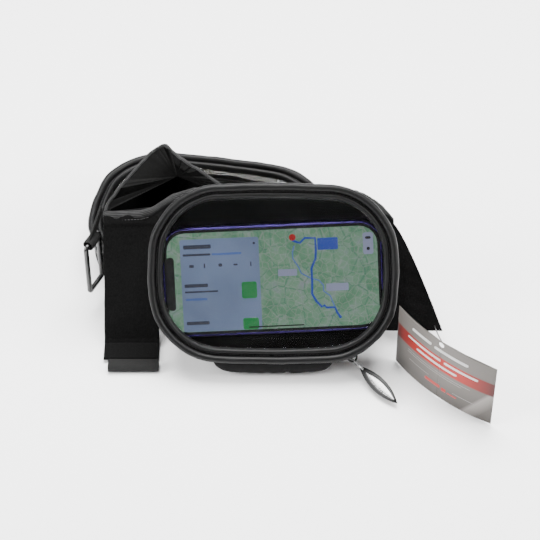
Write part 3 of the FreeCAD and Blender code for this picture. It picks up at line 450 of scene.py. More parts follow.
for side, body in (("rear", "rear_pod"), ("front", "front_lid")):
    rings = carried(rim_places, rim_profile)
    point, out = edge(rim_places)
    loose = np.interp(np.arange(len(rim_profile)), [3, 9, 20, 27, 31], [0, 1, 0.6, 0.8, 0])[:, None]
    rings[..., :2] += out[None] * (waves(rings, 26, 0.32, 23) * loose)[..., None]
    rings[..., 2] += waves(rings, 21, 0.26, 29) * loose
    rim = grid_piece(f"{side}_rim", placed(side, rings), around=True, along=True)
    finish_piece(rim, rim_leathercloth, body, "rim_leathercloth",
                 f"{side}_window_rim", f"{side}_lid_piping", f"{side}_window_bead",
                 f"{side}_lid_side")

# ------------------------------------------------------------------ sewing
# Black bonded thread, about 0.45 mm thick, in lock stitches 2.6 mm long.
# Each stitch dips into the cloth at both ends.
thread_nylon, shader, add = start_material("sewing_thread")
coordinates = add("ShaderNodeTexCoord").outputs
ply = rows(add, coordinates["UV"], 0.0006, "Y")
add.join(shader.inputs["Base Color"], ramp(add, ply, (0.0, 0.009), (1.0, 0.03)))
add.join(shader.inputs["Roughness"], ramp(add, noise(add, coordinates["Object"], 800), (0.2, 0.4),
                                          (0.8, 0.6)))
add.join(shader.inputs["Normal"], bump(add, ply, 0.6, 0.0001))


def stitches(name, line, up, body, slot, length=2.6, thick=0.24, proud=0.12):
    """A row of stitches along a line of points: each is a short tube that rises between its ends
    by a half wave; up is the cloth's outward direction, one for all or one for each point."""
    line = np.asarray(line, float)
    up = np.broadcast_to(up, line.shape)
    run = np.append(0, np.cumsum(np.linalg.norm(np.diff(line, axis=0), axis=1)))
    starts = np.arange(0.5, run[-1] - length, length)
    spots = starts[:, None] + np.linspace(0, length * 0.86, 6)
    points = np.stack([np.interp(spots, run, line[:, axis]) for axis in range(3)], -1)
    lift = unit(np.stack([np.interp(spots, run, up[:, axis]) for axis in range(3)], -1))
    points += lift * (np.sin(np.linspace(0, math.pi, 6)) * (proud + thick) - thick)[None, :, None]
    row = grid_piece(name, tube(points, np.array([0.5, 0.95, 1, 1, 0.95, 0.5]) * thick, 6, lift),
                     around=True, caps=True)
    return finish_piece(row, thread_nylon, body, slot)


for side, body in (("rear", "rear_pod"), ("front", "front_lid")):
    groove = carried(np.linspace(0, pod_round, 800), [(5.95, 32.45)])[0]
    stitches(f"{side}_rim_stitching", placed(side, groove), pods[side][1][2], body,
             "rim_leathercloth")

# ------------------------------------------------------------------ windows
# A clear soft film is sewn under the thin piping. Over a phone it stands a
# little proud and is taut; on the empty pod it lies in loose waves.
clear_film, shader, add = start_material("clear_film")
coordinates = add("ShaderNodeTexCoord").outputs
haze = noise(add, coordinates["Object"], 45, 5)
add.join(shader.inputs["Base Color"], ramp(add, haze, (0.3, (0.93, 0.95, 0.97)),
                                           (0.7, (0.99, 0.99, 1.0))))
add.join(shader.inputs["Roughness"], ramp(add, haze, (0.35, 0.015), (0.75, 0.07)))
shader.inputs["Transmission Weight"].default_value = 1.0
shader.inputs["IOR"].default_value = 1.17
add.join(shader.inputs["Normal"], bump(add, noise(add, coordinates["Object"], 70, 2), 0.12, 0.0008))
film_places = np.linspace(0, pod_round, 300, endpoint=False)
for side, body, ripple, swell in (("rear", "rear_pod", 0.75, 0.2),
                                  ("front", "front_lid", 0.14, 1.1)):
    border = carried(film_places, [(10.25, 29.95)])[0]
    shares = 1 - np.concatenate([np.linspace(0, 0.3, 34), np.linspace(0.33, 0.985, 34)])
    sheet = to_middle(border, shares)
    inner = (1 - shares)[:, None] * 51
    curl = 0.9 * np.exp(-inner / 1.6) - 0.75 * np.exp(-((inner - 4.5) / 3.2) ** 2)
    sheet[..., 2] += swell * (1 - np.exp(-inner / 9)) + curl + waves(sheet[..., :2], 62, ripple,
                                                                     41, 2) * np.clip(inner / 8, 0,
                                                                     1)
    lower = sheet[::-1] - [0, 0, 0.45]
    film = grid_piece(f"{side}_film", placed(side, np.concatenate([sheet[::-1], lower[::-1]])),
                      around=True, caps=True)
    finish_piece(film, clear_film, body, "clear_film", f"{side}_window")

# ------------------------------------------------------------------ pocket backing
# A thin lining closes the back of each window pocket and holds the phone to
# the film. It is the lid's inner face when the pod is open.
lining = cloth("pocket_lining", (0.0015, 0.0015, 0.0017), (0.0035, 0.0035, 0.0037), 0.0006, 0.66,
               0.01, 0.15, 0.08)
rear_lining = cloth("rear_lining", (0.003, 0.0033, 0.0022), (0.0085, 0.009, 0.0062), 0.0006, 0.6,
                    0.01, 0.3, 0.1)
backing_height = 18.6
for side, body, stuff in (("rear", "rear_pod", rear_lining), ("front", "front_lid", lining)):
    border = carried(film_places, [(6.0, backing_height)])[0]
    shares = 1 - np.linspace(0, 0.97, 30)
    top = to_middle(border, shares)
    top[..., 2] -= np.abs(waves(top, 48, 0.5, 53)) * (1 - shares)[:, None]
    bottom = top - [0, 0, 0.8]
    back = grid_piece(f"{side}_pocket_lining", placed(side, np.concatenate([top[::-1], bottom])),
                      around=True, caps=True)
    finish_piece(back, stuff, body, "pod_nylon", f"{side}_pocket_backing")

# ------------------------------------------------------------------ phone
# The user's own phone in the front pocket, here to show what the window is
# for: an anodised frame, a black glass border and a lit map with no lettering.
phone_turn = math.radians(2.6)
phone_half_long, phone_half_tall, phone_corner_size = 75.45, 37.85, 16.0
phone_back, phone_face = 19.0, 27.3


def on_phone(points):
    """Points in the phone's own frame, set in the object's frame through the front pod's."""
    points = np.asarray(points, float)
    cos, sin = math.cos(phone_turn), math.sin(phone_turn)
    flat = np.stack([points[..., 0] * cos - points[..., 1] * sin,
                     points[..., 0] * sin + points[..., 1] * cos - 4.6], -1)
    return placed("front", np.concatenate([flat, points[..., 2:]], -1))


def round_box(half_long, half_tall, corner, count=25):
    """Corner points of a rounded rectangle, and the way out at each, as four quarter circles."""
    angle = np.radians(np.concatenate([start + np.linspace(0, 90, count)
                                       for start in (0, 90, 180, 270)]))
    out = np.stack([np.cos(angle), np.sin(angle)], -1)
    centre = np.repeat([(1, 1), (-1, 1), (-1, -1), (1, -1)], count,
                       axis=0) * [half_long - corner, half_tall - corner]
    return centre + corner * out, out


def slab(name, half_long, half_tall, corner, profile):
    """A rounded plate: a profile of (inset, height) pairs carried round a rounded rectangle."""
    point, out = round_box(half_long, half_tall, corner)
    profile = np.asarray(profile, float)
    flat = point[None] - out[None] * profile[:, :1, None]
    rings = np.concatenate([flat, np.broadcast_to(profile[:, 1:, None], flat.shape[:2] + (1,))], -1)
    return grid_piece(name, on_phone(rings), around=True, caps=True)


anodised, shader, add = start_material("anodised_frame")
coordinates = add("ShaderNodeTexCoord").outputs
add.join(shader.inputs["Base Color"], ramp(add, noise(add, coordinates["Object"], 90),
                                           (0.3, (0.03, 0.018, 0.10)), (0.7, (0.05, 0.03, 0.16))))
add.join(shader.inputs["Roughness"], ramp(add, noise(add, coordinates["Object"], 700), (0.2, 0.24),
                                          (0.8, 0.38)))
shader.inputs["Metallic"].default_value = 0.85
body_edge = [(1.6, phone_back), (0.5, phone_back + 0.5), (0.0, phone_back + 1.6),
             (0.0, phone_face - 1.5),
             (0.35, phone_face - 0.5), (0.9, phone_face - 0.12), (1.5, phone_face - 0.05),
             (1.7, phone_face - 0.45)]
phone = slab("phone_body", phone_half_long, phone_half_tall, phone_corner_size, body_edge)
finish_piece(phone, anodised, "front_lid", "phone_case", "phone")
border_glass, shader, add = start_material("border_glass")
coordinates = add("ShaderNodeTexCoord").outputs
add.join(shader.inputs["Base Color"], ramp(add, noise(add, coordinates["Object"], 60),
                                           (0.3, 0.003), (0.7, 0.006)))
shader.inputs["Roughness"].default_value = 0.16
border = slab("phone_border", phone_half_long - 1.5, phone_half_tall - 1.5, phone_corner_size - 1.5,
              [(1.0, phone_face - 0.7), (0.0, phone_face - 0.4), (0.0, phone_face - 0.2),
               (0.3, phone_face - 0.1), (1.5, phone_face - 0.1)])
finish_piece(border, border_glass, "front_lid", "phone_display")


def lit(name, strength, colour_of):
    """A lit display: black glass that sends out the colour that colour_of gives at a UV."""
    material, shader, add = start_material(name)
    colour = colour_of(add, add("ShaderNodeTexCoord").outputs["UV"])
    add.join(shader.inputs["Emission Color"], colour)
    shader.inputs["Emission Strength"].default_value = strength
    shader.inputs["Base Color"].default_value = (0.01, 0.01, 0.01, 1)
    shader.inputs["Roughness"].default_value = 0.2
    return material


def patches(name, outlines, height, material, *nodes):
    """Flat patches on the display, each one face inside an outline of (across, up) pairs.
    The UV map is the place on the display in metres."""
    outlines = [np.asarray(outline, float) for outline in outlines]
    flat = np.concatenate(outlines)
    points = on_phone(np.concatenate([flat, np.full((len(flat), 1), height)], -1)) / 1000
    counts = np.cumsum([0] + [len(outline) for outline in outlines])
    mesh = bpy.data.meshes.new(name)
    mesh.from_pydata(points.tolist(), [],
                     [list(range(first, last)) for first, last in zip(counts[:-1], counts[1:])])
    mesh.uv_layers.new(name="run").data.foreach_set("uv", (flat / 1000).astype(np.float32).ravel())
    piece = bpy.data.objects.new(name, mesh)
    bpy.context.scene.collection.objects.link(piece)
    return finish_piece(piece, material, "front_lid", "phone_display", *nodes)


def card(left, right, low, high, corner=0.8):
    """The outline of a rounded rectangle from its four sides."""
    point, _ = round_box((right - left) / 2, (high - low) / 2, corner, 6)
    return point + [(left + right) / 2, (low + high) / 2]


def ribbon_outline(line, wide):
    """A line of points given a width: out along one side and back along the other."""
    line = np.asarray(line, float)
    ahead = unit(np.gradient(line, axis=0))
    side_way = np.stack([-ahead[:, 1], ahead[:, 0]], -1) * wide / 2
    return np.concatenate([line - side_way, (line + side_way)[::-1]])


def map_colours(add, place):
    """Pale green country with darker woods, grey towns, and thin roads on the edges of cells."""
    land = noise(add, place, 70, 5, 0.6)
    colour = ramp(add, land, (0.36, (0.15, 0.36, 0.20)), (0.47, (0.21, 0.45, 0.27)),
                  (0.56, (0.28, 0.50, 0.34)), (0.68, (0.36, 0.44, 0.44)))
    cells = add("ShaderNodeTexVoronoi", {"Vector": place, "Scale": 75.0},
                feature="DISTANCE_TO_EDGE").outputs[0]
    colour = mixed(add, ramp(add, cells, (0.0, 1.0), (0.035, 0.0)), colour, (0.13, 0.33, 0.20))
    lanes = add("ShaderNodeTexVoronoi", {"Vector": place, "Scale": 210.0},
                feature="DISTANCE_TO_EDGE").outputs[0]
    return mixed(add, ramp(add, lanes, (0.0, 0.5), (0.06, 0.0)), colour, (0.55, 0.58, 0.56))


def plain(colour, change=0.12):
    """One colour with a slow change of light across it."""
    def colour_of(add, place):
        cloud = noise(add, place, 25, 2)
        return ramp(add, cloud, (0.3, tuple(c * (1 - change) for c in colour)),
                    (0.7, tuple(c * (1 + change) for c in colour)))
    return colour_of


glow_strength = 0.5
display = card(-71.85, 71.85, -34.25, 34.25, 12.4)
screen_level = phone_face - 0.07
patches("phone_map", [display], screen_level, lit("map_display", glow_strength, map_colours),
        "phone_screen")
for name, glow_name, lift, colour, change, outlines in (
    ("phone_panel", "panel_display", 0.02, (0.25, 0.34, 0.56), 0.15,
     [card(-62.6, -8.9, -34.0, 29.9, 1.5)]),
    ("phone_panel_rows", "row_display", 0.04, (0.05, 0.06, 0.1), 0.12,
     [card(-60.3, -41.5, 23.2, 26.0, 0.6), card(-60.9, -42.0, 18.4, 19.9, 0.4),
      card(-60.7, -44.7, -3.3, -0.9, 0.6), card(-60.7, -38.0, -7.0, -5.8, 0.3),
      card(-60.5, -44.9, -29.3, -26.9, 0.6), card(-56.9, -53.7, 10.4, 12.4, 0.6),
      card(-46.9, -45.9, 9.8, 13.0, 0.4), card(-36.9, -34.3, 10.4, 12.6, 0.8),
      card(-26.6, -23.8, 10.8, 12.0, 0.5), card(-15.2, -14.4, 9.8, 13.0, 0.3),
      card(-12.9, -11.3, 24.8, 26.4, 0.7)]),
    ("phone_panel_lines", "line_display", 0.04, (0.12, 0.22, 0.62), 0.12,
     [card(-41.0, -21.0, 18.4, 19.9, 0.4), card(-60.4, -45.6, -12.4, -10.8, 0.4)]),
    ("phone_buttons", "button_display", 0.04, (0.012, 0.36, 0.08), 0.12,
     [card(-21.8, -11.4, -12.4, -0.8, 1.6), card(-21.9, -11.0, -34.0, -25.9, 1.6)]),
    ("phone_pale_labels", "label_display", 0.04, (0.42, 0.46, 0.68), 0.12,
     [card(3.5, 16.5, 1.9, 6.6, 0.6), card(36.0, 51.2, -9.7, -4.6, 0.6),
      card(62.1, 69.1, 14.5, 29.5, 1.6)]),
    ("phone_other_route", "other_route_display", 0.03, (0.16, 0.28, 0.7), 0.12,
     [ribbon_outline([(15.2, 22.5), (13.9, 18.1), (14.0, 13.7), (17.8, 7.4), (19.3, 3.4),
                      (25.7, -0.4), (31.2, -2.1), (34.1, -5.6), (34.1, -9.5), (38.4, -13.0),
                      (41.3, -20.9)], 0.9)]),
    ("phone_route", "route_display", 0.05, (0.03, 0.09, 0.62), 0.12,
     [ribbon_outline([(14.1, 26.4), (16.4, 25.2), (19.2, 24.3), (22.6, 27.5), (29.7, 27.2),
                      (29.9, 19.6), (29.4, 13.0), (26.4, 6.4), (26.5, -2.5), (26.1, -11.3),
                      (28.9, -16.5), (32.5, -20.5), (34.2, -19.5), (35.8, -21.2), (41.3, -21.2),
                      (42.8, -24.9), (44.8, -28.0)], 1.5), card(43.8, 45.8, -29.0, -27.0, 0.99),
                      card(31.1, 45.0, 18.9, 27.1, 0.8)]),
    ("phone_pin", "pin_display", 0.06, (0.62, 0.01, 0.008), 0.12,
     [card(11.9, 16.5, 26.0, 30.6, 2.29)]),
    ("phone_notch", "dark_display", 0.07, (0.002, 0.002, 0.002), 0.12,
     [card(-72.2, -67.2, -18.8, 18.1, 2.2), card(-18.1, 19.9, -32.9, -32.0, 0.4),
      card(63.7, 67.5, 25.0, 26.8, 0.8), card(64.5, 66.7, 17.3, 19.5, 0.9)]),
):
    glow = lit(glow_name, glow_strength, plain(colour, change))
    patches(name, outlines, screen_level + lift, glow)

# ------------------------------------------------------------------ hinge panel
# Along the bottom edge there is no zip: a padded panel of the same cloth
# joins wall and lid and folds when the pod opens. Its ends taper into the wall.
panel_section = np.array([(-57.8, 9.4), (-60.5, 10.0), (-65.0, 12.2), (-68.8, 15.4), (-70.9, 19.0),
                          (-71.4, 22.4), (-70.5, 25.4),
                          (-67.6, 27.9), (-63.6, 29.3), (-60.2, 29.8), (-58.4, 29.2),
                          (-57.3, 27.2), (-57.0, 22.0), (-57.1, 15.0), (-57.3, 11.0)])
panel_ends = 41.4


def smooth_loop(line, count):
    """A closed line made smooth: its points spread evenly and averaged with their neighbours."""
    closed = np.concatenate([line, line[:1]])
    run = np.append(0, np.cumsum(np.linalg.norm(np.diff(closed, axis=0), axis=1)))
    even = np.linspace(0, run[-1], count, endpoint=False)
    points = np.stack([np.interp(even, run, closed[:, axis]) for axis in range(line.shape[1])], -1)
    for _ in range(4):
        points = (np.roll(points, 1, 0) + 2 * points + np.roll(points, -1, 0)) / 4
    return points


section = smooth_loop(panel_section, 72)
spans = np.sin(np.linspace(-math.pi / 2, math.pi / 2, 150)) * panel_ends
fullness = (0.12 + 0.88 * np.clip(1 - np.abs(spans / (panel_ends + 0.4)) ** 5, 0,
                                  1) ** 0.42)[:, None]
panel = np.stack([np.broadcast_to(spans[:, None], (150, 72)),
                  -57.5 + (section[None, :, 0] + 57.5) * fullness,
                  21 + (section[None, :, 1] - 21) * (0.8 + 0.2 * fullness)], -1)
dent = 0.9 * np.exp(-((spans - 9.5) / 1.6) ** 2) + 0.35 * np.exp(-((spans + 20) / 3.0) ** 2)
panel[..., 1] += (dent[:, None] + np.abs(waves(panel, 24, 0.5,
                                               61))) * np.clip((-58 - panel[..., 1]) / 6, 0, 1)
for side in ("rear", "front"):
    cushion = grid_piece(f"{side}_hinge_panel", placed(side, panel), around=True, caps=True)
    finish_piece(cushion, pod_cloth, "rear_pod" if side == "rear" else None, "pod_nylon",
                 f"{side}_hinge_panel_body", f"{side}_hinge_panel_lid")
    if side == "front":
        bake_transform(cushion)

# ------------------------------------------------------------------ zip slider, stops and pull
# A die-cast slider in black lacquer runs on the coil. A wire link hangs on its
# bail and carries a moulded leaf-shaped pull with a plated inlay.


def lump(centre, axes, halves, square=0.5, rows=18, columns=28):
    """A box with every edge rounded: sines and cosines of two angles, raised to a power under 1."""
    down = np.linspace(-math.pi / 2, math.pi / 2, rows)[1:-1, None]
    turn = np.linspace(0, 2 * math.pi, columns, endpoint=False)[None]

    def power(value):
        return np.sign(value) * np.abs(value) ** square

    spots = np.stack([power(np.cos(down)) * power(np.cos(turn)),
                      power(np.cos(down)) * power(np.sin(turn)),
                      power(np.sin(down)) + 0 * turn], -1) * halves
    return np.asarray(centre) + spots @ np.asarray(axes, float)


lacquer, shader, add = start_material("black_lacquer")
coordinates = add("ShaderNodeTexCoord").outputs
rub = noise(add, coordinates["Object"], 380, 5)
add.join(shader.inputs["Base Color"], ramp(add, rub, (0.45, 0.008), (0.72, 0.05)))
add.join(shader.inputs["Roughness"], ramp(add, rub, (0.3, 0.22), (0.7, 0.4)))
shader.inputs["Metallic"].default_value = 0.7
steel, shader, add = start_material("plated_wire")
coordinates = add("ShaderNodeTexCoord").outputs
add.join(shader.inputs["Base Color"], ramp(add, noise(add, coordinates["Object"], 500),
                                           (0.3, 0.35), (0.7, 0.6)))
add.join(shader.inputs["Roughness"], ramp(add, noise(add, coordinates["Object"], 1500),
                                          (0.2, 0.16), (0.8, 0.34)))
shader.inputs["Metallic"].default_value = 1.0
soft_plastic, shader, add = start_material("pull_plastic")
coordinates = add("ShaderNodeTexCoord").outputs
add.join(shader.inputs["Base Color"], ramp(add, noise(add, coordinates["Object"], 200),
                                           (0.3, 0.003), (0.7, 0.006)))
add.join(shader.inputs["Roughness"], ramp(add, noise(add, coordinates["Object"], 600), (0.2, 0.26),
                                          (0.8, 0.4)))
add.join(shader.inputs["Normal"], bump(add, noise(add, coordinates["Object"], 1600), 0.15, 0.0001))
shader.inputs["Specular IOR Level"].default_value = 0.2
plated, shader, add = start_material("plated_inlay")
coordinates = add("ShaderNodeTexCoord").outputs
brushed = add("ShaderNodeMapping", {"Vector": coordinates["Object"],
                                    "Scale": (300.0, 2500.0, 300.0)}).outputs[0]
grain = noise(add, brushed, 1.0, 4)
add.join(shader.inputs["Base Color"], ramp(add, grain, (0.3, 0.10), (0.7, 0.36)))
add.join(shader.inputs["Roughness"], ramp(add, grain, (0.3, 0.18), (0.7, 0.36)))
shader.inputs["Metallic"].default_value = 1.0

slider_place = 35 + 50 * math.radians(22)
for side in ("rear", "front"):
    wall_body, slider_body, pull_body = f"{side}_pod", f"{side}_zip_slider", f"{side}_zip_pull"
    (point,), (out,) = edge([slider_place])
    outward, along, upward = np.array([*out, 0]), np.array([-out[1], out[0],
                                                            0]), np.array([0, 0, 1.0])
    seat = np.array([*point, 19.2]) + outward * 0.8
    shell = [lump(seat, (along, outward, upward), (5.0, 1.9, 2.5), 0.45),
             lump(seat + outward * 0.4 - along * 2.2, (along, outward, upward), (2.6, 1.9, 3.0),
                  0.5),
             lump(seat + outward * 1.7, (along, outward, upward), (3.6, 0.9, 1.3), 0.6)]
    lugs = grid_piece(f"{side}_slider_shell", placed(side, np.array(shell)), around=True, caps=True)
    finish_piece(lugs, lacquer, slider_body, "black_metal", f"{side}_slider")
    sweep = np.radians(np.linspace(0, 180, 24))[:, None]
    arch = seat + outward * 1.8 + 3.2 * (np.cos(sweep) * along + np.sin(sweep) * outward)
    bail = grid_piece(f"{side}_slider_bail", placed(side, tube(arch, 0.7, 10, upward)),
                      around=True, caps=True)
    finish_piece(bail, lacquer, slider_body, "black_metal")
    clamps = []
    for place in (43.5, pod_round - 43.5):
        (point,), (out,) = edge([place])
        clamps.append(lump(np.array([*(point - out * 1.9), 19.4]),
                           ([-out[1], out[0], 0], [*out, 0], upward), (0.8, 0.7, 2.4), 0.4))
    ends = grid_piece(f"{side}_zip_clamps", placed(side, np.array(clamps)), around=True, caps=True)
    finish_piece(ends, lacquer, wall_body, "black_metal", f"{side}_zip_stops")
    link = frame["nodes"][f"{side}_pull_link"]
    link.data.materials.clear()
    link.data.materials.append(steel)
    link.data.shade_smooth()

    # the inlay's solid is a flat symmetric leaf: its main directions are the pull's own axes
    inlay = frame["nodes"][f"{side}_pull_inlay"].data.vertices
    corners = np.array([corner.co for corner in inlay]) * 1000
    _, ways = np.linalg.eigh(np.cov((corners - corners.mean(0)).T))
    swing_joint = next(joint for joint in frame["joints"] if joint["name"] == f"{side}_pull_swing")
    hang = np.array(swing_joint["pos_m"]) * 1000
    body_low, body_high = (np.array(corner) * 1000 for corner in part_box(f"{side}_pull"))
    ahead = ways[:, 2] * np.sign(ways[:, 2] @ (corners.mean(0) - hang))
    face = ways[:, 0] * np.sign(ways[:, 0] @ (corners.mean(0) - (body_low + body_high) / 2))
    sideways = np.cross(face, ahead)
    eye_middle = corners.mean(0) - ahead * 28.0 - face * 1.225
    pull_axes = np.stack([ahead, sideways, face])

    def leaf_width(along_leaf, start, length, half):
        """Half the leaf's width at a distance along it: a circular arc over its chord."""
        radius = (length**2 / 4 + half**2) / (2 * half)
        return np.sqrt(np.clip(radius**2 - (along_leaf - start - length / 2) ** 2, 0,
                               None)) - radius + half

    stations = 26.0 - np.cos(np.linspace(0.0, math.pi, 90)) * 19.6
    width = np.maximum(leaf_width(stations, 5.8, 40, 5.2), 0.25)[:, None]
    turn = np.linspace(0, 2 * math.pi, 48, endpoint=False)[None]
    across_leaf = np.sign(np.cos(turn)) * np.abs(np.cos(turn)) ** 0.6
    upright = np.sign(np.sin(turn)) * np.abs(np.sin(turn)) ** 0.5
    lifted = 1.5 * upright * np.clip(width / 1.6, 0.3, 1)
    inlay_width = leaf_width(stations, 13.0, 30, 2.8)[:, None]
    lifted -= 0.55 * np.clip((inlay_width - np.abs(across_leaf) * width) / 0.35 + 0.5, 0,
                             1) * (upright > 0) * (inlay_width > 0.05)
    body_leaf = np.stack([np.broadcast_to(stations[:, None], lifted.shape), across_leaf * width,
                          lifted], -1)
    pull = grid_piece(f"{side}_pull_leaf", eye_middle + body_leaf @ pull_axes, around=True,
                      caps=True)
    finish_piece(pull, soft_plastic, pull_body, "pull_rubber", f"{side}_pull")
    plate = np.stack([np.broadcast_to(28.0 - np.cos(np.linspace(0, math.pi, 60))[:, None] * 14.6,
                                      (60, 25)),
                      leaf_width(28.0 - np.cos(np.linspace(0, math.pi, 60)) * 14.6, 13.0, 30,
                                 2.5)[:, None] * np.linspace(-1, 1, 25),
                      np.broadcast_to(1.02 + 0.3 * np.sqrt(1 - np.linspace(-0.97, 0.97, 25) ** 2),
                                      (60, 25))], -1)
    under = plate * [1, 1, 0] + [0, 0, 0.9]
    inlay = grid_piece(f"{side}_pull_plate",
                       eye_middle + np.concatenate([plate, under[:, ::-1]], 1) @ pull_axes,
                       around=True, caps=True)
    finish_piece(inlay, plated, pull_body, "plated_inlay", f"{side}_pull_inlay")

# ------------------------------------------------------------------ saddle sheet
# A sheet of coated nylon lies against the front pod's back and runs down to
# the rear pod. Its two ears carry the straps; a ribbed tape binds the top.
sheet_level, sheet_half = -2.0, 1.3
saddle_cloth = cloth("saddle_cloth", (0.0015, 0.0015, 0.0016), (0.0045, 0.0045, 0.0047), 0.0006,
                     0.7, 0.01, 0.5)
ribbed, shader, add = start_material("ribbed_tape")
coordinates = add("ShaderNodeTexCoord").outputs
ribs = rows(add, coordinates["UV"], 0.0011)
wear = noise(add, coordinates["Object"], 120, 4)
add.join(shader.inputs["Base Color"], mixed(add, ribs, (0.0015, 0.0015, 0.0017),
                                            ramp(add, wear, (0.35, 0.022), (0.7, 0.048))))
shader.inputs["Roughness"].default_value = 0.7
shader.inputs["Specular IOR Level"].default_value = 0.15
add.join(shader.inputs["Normal"], bump(add, ribs, 0.7, 0.0004))


def two_faced(middle, half, round_off=1.0):
    """A grid of points given thickness: half of it to each side along the grid's normal.

    It thins to nothing over round_off mm at the first and last column and row."""
    down, across = np.gradient(middle, axis=0), np.gradient(middle, axis=1)
    normal = unit(np.cross(down, across))

    def thinning(step):
        run = np.concatenate([np.zeros_like(step[:1]), np.cumsum(step, axis=0)])
        near = np.minimum(run, run[-1] - run)
        return np.sqrt(1 - np.clip(1 - near / round_off, 0, 1) ** 2)

    columns = thinning(np.linalg.norm(np.diff(middle, axis=1), axis=-1).mean(0))
    ends = thinning(np.linalg.norm(np.diff(middle, axis=0), axis=-1).mean(1))
    lift = normal * (half * np.maximum(columns[None, :], 0.05)
                     * np.maximum(ends[:, None], 0.05))[..., None]
    return np.concatenate([middle + lift, (middle - lift)[:, ::-1]], 1)


def run_in(count, low, high, round_off=1.0):
    """Stations from low to high, with extra ones within round_off of both ends."""
    ends = round_off * (1 - np.cos(np.linspace(0, math.pi / 2, 5)[:-1]))
    return np.concatenate([low + ends, np.linspace(low + round_off, high - round_off, count),
                           (high - ends)[::-1]])


ear_ends = (-118.3, 83.8)
across_sheet = run_in(210, *ear_ends)
ear_top = np.interp(across_sheet, [-118.5, -116, -92, -84, -70, -55, 50, 58, 63, 70, 77, 84],
                    [36.5, 38.0, 38.8, 41, 50, 54.5, 53.5, 52.5, 50.5, 46.5, 41.0, 32.6])
ear_top += 0.5 * waves(across_sheet[:, None], 9, 1.0, 71) * np.clip((across_sheet - 45) / 12, 0, 1)
share_up = run_in(22, 0, 1, 0.05)
ear_rows = 31.2 + (ear_top - 31.2)[None] * share_up[:, None]
band = np.stack([np.broadcast_to(across_sheet, ear_rows.shape), ear_rows,
                 np.full(ear_rows.shape, sheet_level)], -1)
loose = np.clip((np.abs(across_sheet + 17) - 72) / 12, 0, 1)[None]
band[..., 2] += waves(band[..., :2], 22, 0.9, 72) * loose - 0.4 * loose
saddle_band = grid_piece("saddle_band", placed("front", two_faced(band, sheet_half)), around=True,
                         caps=True)
finish_piece(saddle_band, saddle_cloth, "saddle", "saddle_nylon", "saddle_sheet")
drop_rows = np.concatenate([run_in(30, -11.5, 31.1)[::-1], [-12.4, -13.6]])
across_drop = run_in(60, -41.9, 41.9)
drop = np.stack(np.broadcast_arrays(across_drop[None], drop_rows[:, None], sheet_level), -1)
drop[..., 2] += waves(drop[..., :2], 30, 0.25, 73)
below = placed("front", drop[-1:]) - np.arange(1.2, 27, 1.2)[:, None, None] * [0, 0, 1.0]
below[..., 1] += 0.9 * (1 - np.exp(-np.arange(1, 23) / 4))[:, None]
saddle_drop = grid_piece("saddle_drop", two_faced(np.concatenate([placed("front", drop), below]),
                                                  sheet_half), around=True, caps=True)
finish_piece(saddle_drop, saddle_cloth, "saddle", "saddle_nylon", "saddle_root")
edging = []
for inset, out in np.array([(5.2, 1.32), (5.0, 1.75), (2.6, 1.95), (0.4, 1.75), (-0.5, 0.9),
                            (-0.6, 0.0), (-0.5, -0.9), (0.4, -1.65), (2.6, -1.65), (5.0, -1.6),
                            (5.2, -1.2)]):
    edging.append(np.stack([across_sheet, ear_top - inset,
                            sheet_level + out - 0.4 * loose[0]
                            + waves(np.stack([across_sheet, ear_top], -1), 22, 0.9, 72)
                            * loose[0]], -1))
binding = grid_piece("saddle_edge_tape", placed("front", np.stack(edging, 1)), around=True,
                     caps=True)
finish_piece(binding, ribbed, "saddle", "grosgrain", "saddle_binding")
for count, (low, high, depth) in enumerate(((-117, -86, 5.8), (56, 82, 5.6))):
    line_across = np.linspace(low, high, 60)
    seam = np.stack([line_across, np.interp(line_across, across_sheet, ear_top) - depth,
                     np.full(60, sheet_level + 1.5)], -1)
    stitches(f"saddle_stitching_{count}", placed("front", seam), pods["front"][1][2], "saddle",
             "grosgrain", 2.2, 0.2)
pad_across, pad_up = run_in(50, -33.5, 33.5), run_in(30, 2.9, 26.5)
swell = (np.clip(1 - np.abs(pad_across / 34) ** 6, 0, 1)[None]
         * np.clip(1 - np.abs((pad_up - 14.7) / 12.2) ** 6, 0, 1)[:, None]) ** 0.4
cushion = np.stack(np.broadcast_arrays(pad_across[None], pad_up[:, None],
                                       sheet_level - sheet_half - 0.1 - 2.7 * swell), -1)
under = cushion * [1, 1, 0] + [0, 0, sheet_level - sheet_half - 0.05]
saddle_pad = grid_piece("saddle_cushion",
                        placed("front", np.concatenate([cushion, under[:, ::-1]], 1)), around=True,
                        caps=True)
finish_piece(saddle_pad, pod_cloth, "saddle", "saddle_nylon", "saddle_pad")

# ------------------------------------------------------------------ collar
# Spare saddle cloth stands in a V behind the front pod and rests on the rear
# window. Its rim is bound with ribbed tape and peaks at the fold.
lean = math.radians(36)
front_far, front_high = -66.655, 47.123
rim_slope = math.tan(math.radians(18))
apex = np.array([-33.0, 10.0])
left_way = np.array([math.cos(math.radians(-128)), math.sin(math.radians(-128))])
right_way = np.array([math.cos(math.radians(-36.5)), math.sin(math.radians(-36.5))])
plan = np.concatenate([[apex + left_way * 57 + [-1.5, -4.5]],
                       [apex + left_way * reach for reach in np.linspace(56, 4, 30)],
                       [apex + right_way * reach for reach in np.linspace(4, 88, 50)]])
plan_run = np.append(0, np.cumsum(np.linalg.norm(np.diff(plan, axis=0), axis=1)))
even = np.linspace(0, plan_run[-1], 240)
plan = np.stack([np.interp(even, plan_run, plan[:, axis]) for axis in range(2)], -1)
for _ in range(5):
    plan[1:-1] = (plan[:-2] + 2 * plan[1:-1] + plan[2:]) / 4
fold_run = even[np.argmax(plan[:, 1])]
from_fold = even - fold_run
rim_height = 94.2 + (plan[:, 1] - 10) * rim_slope
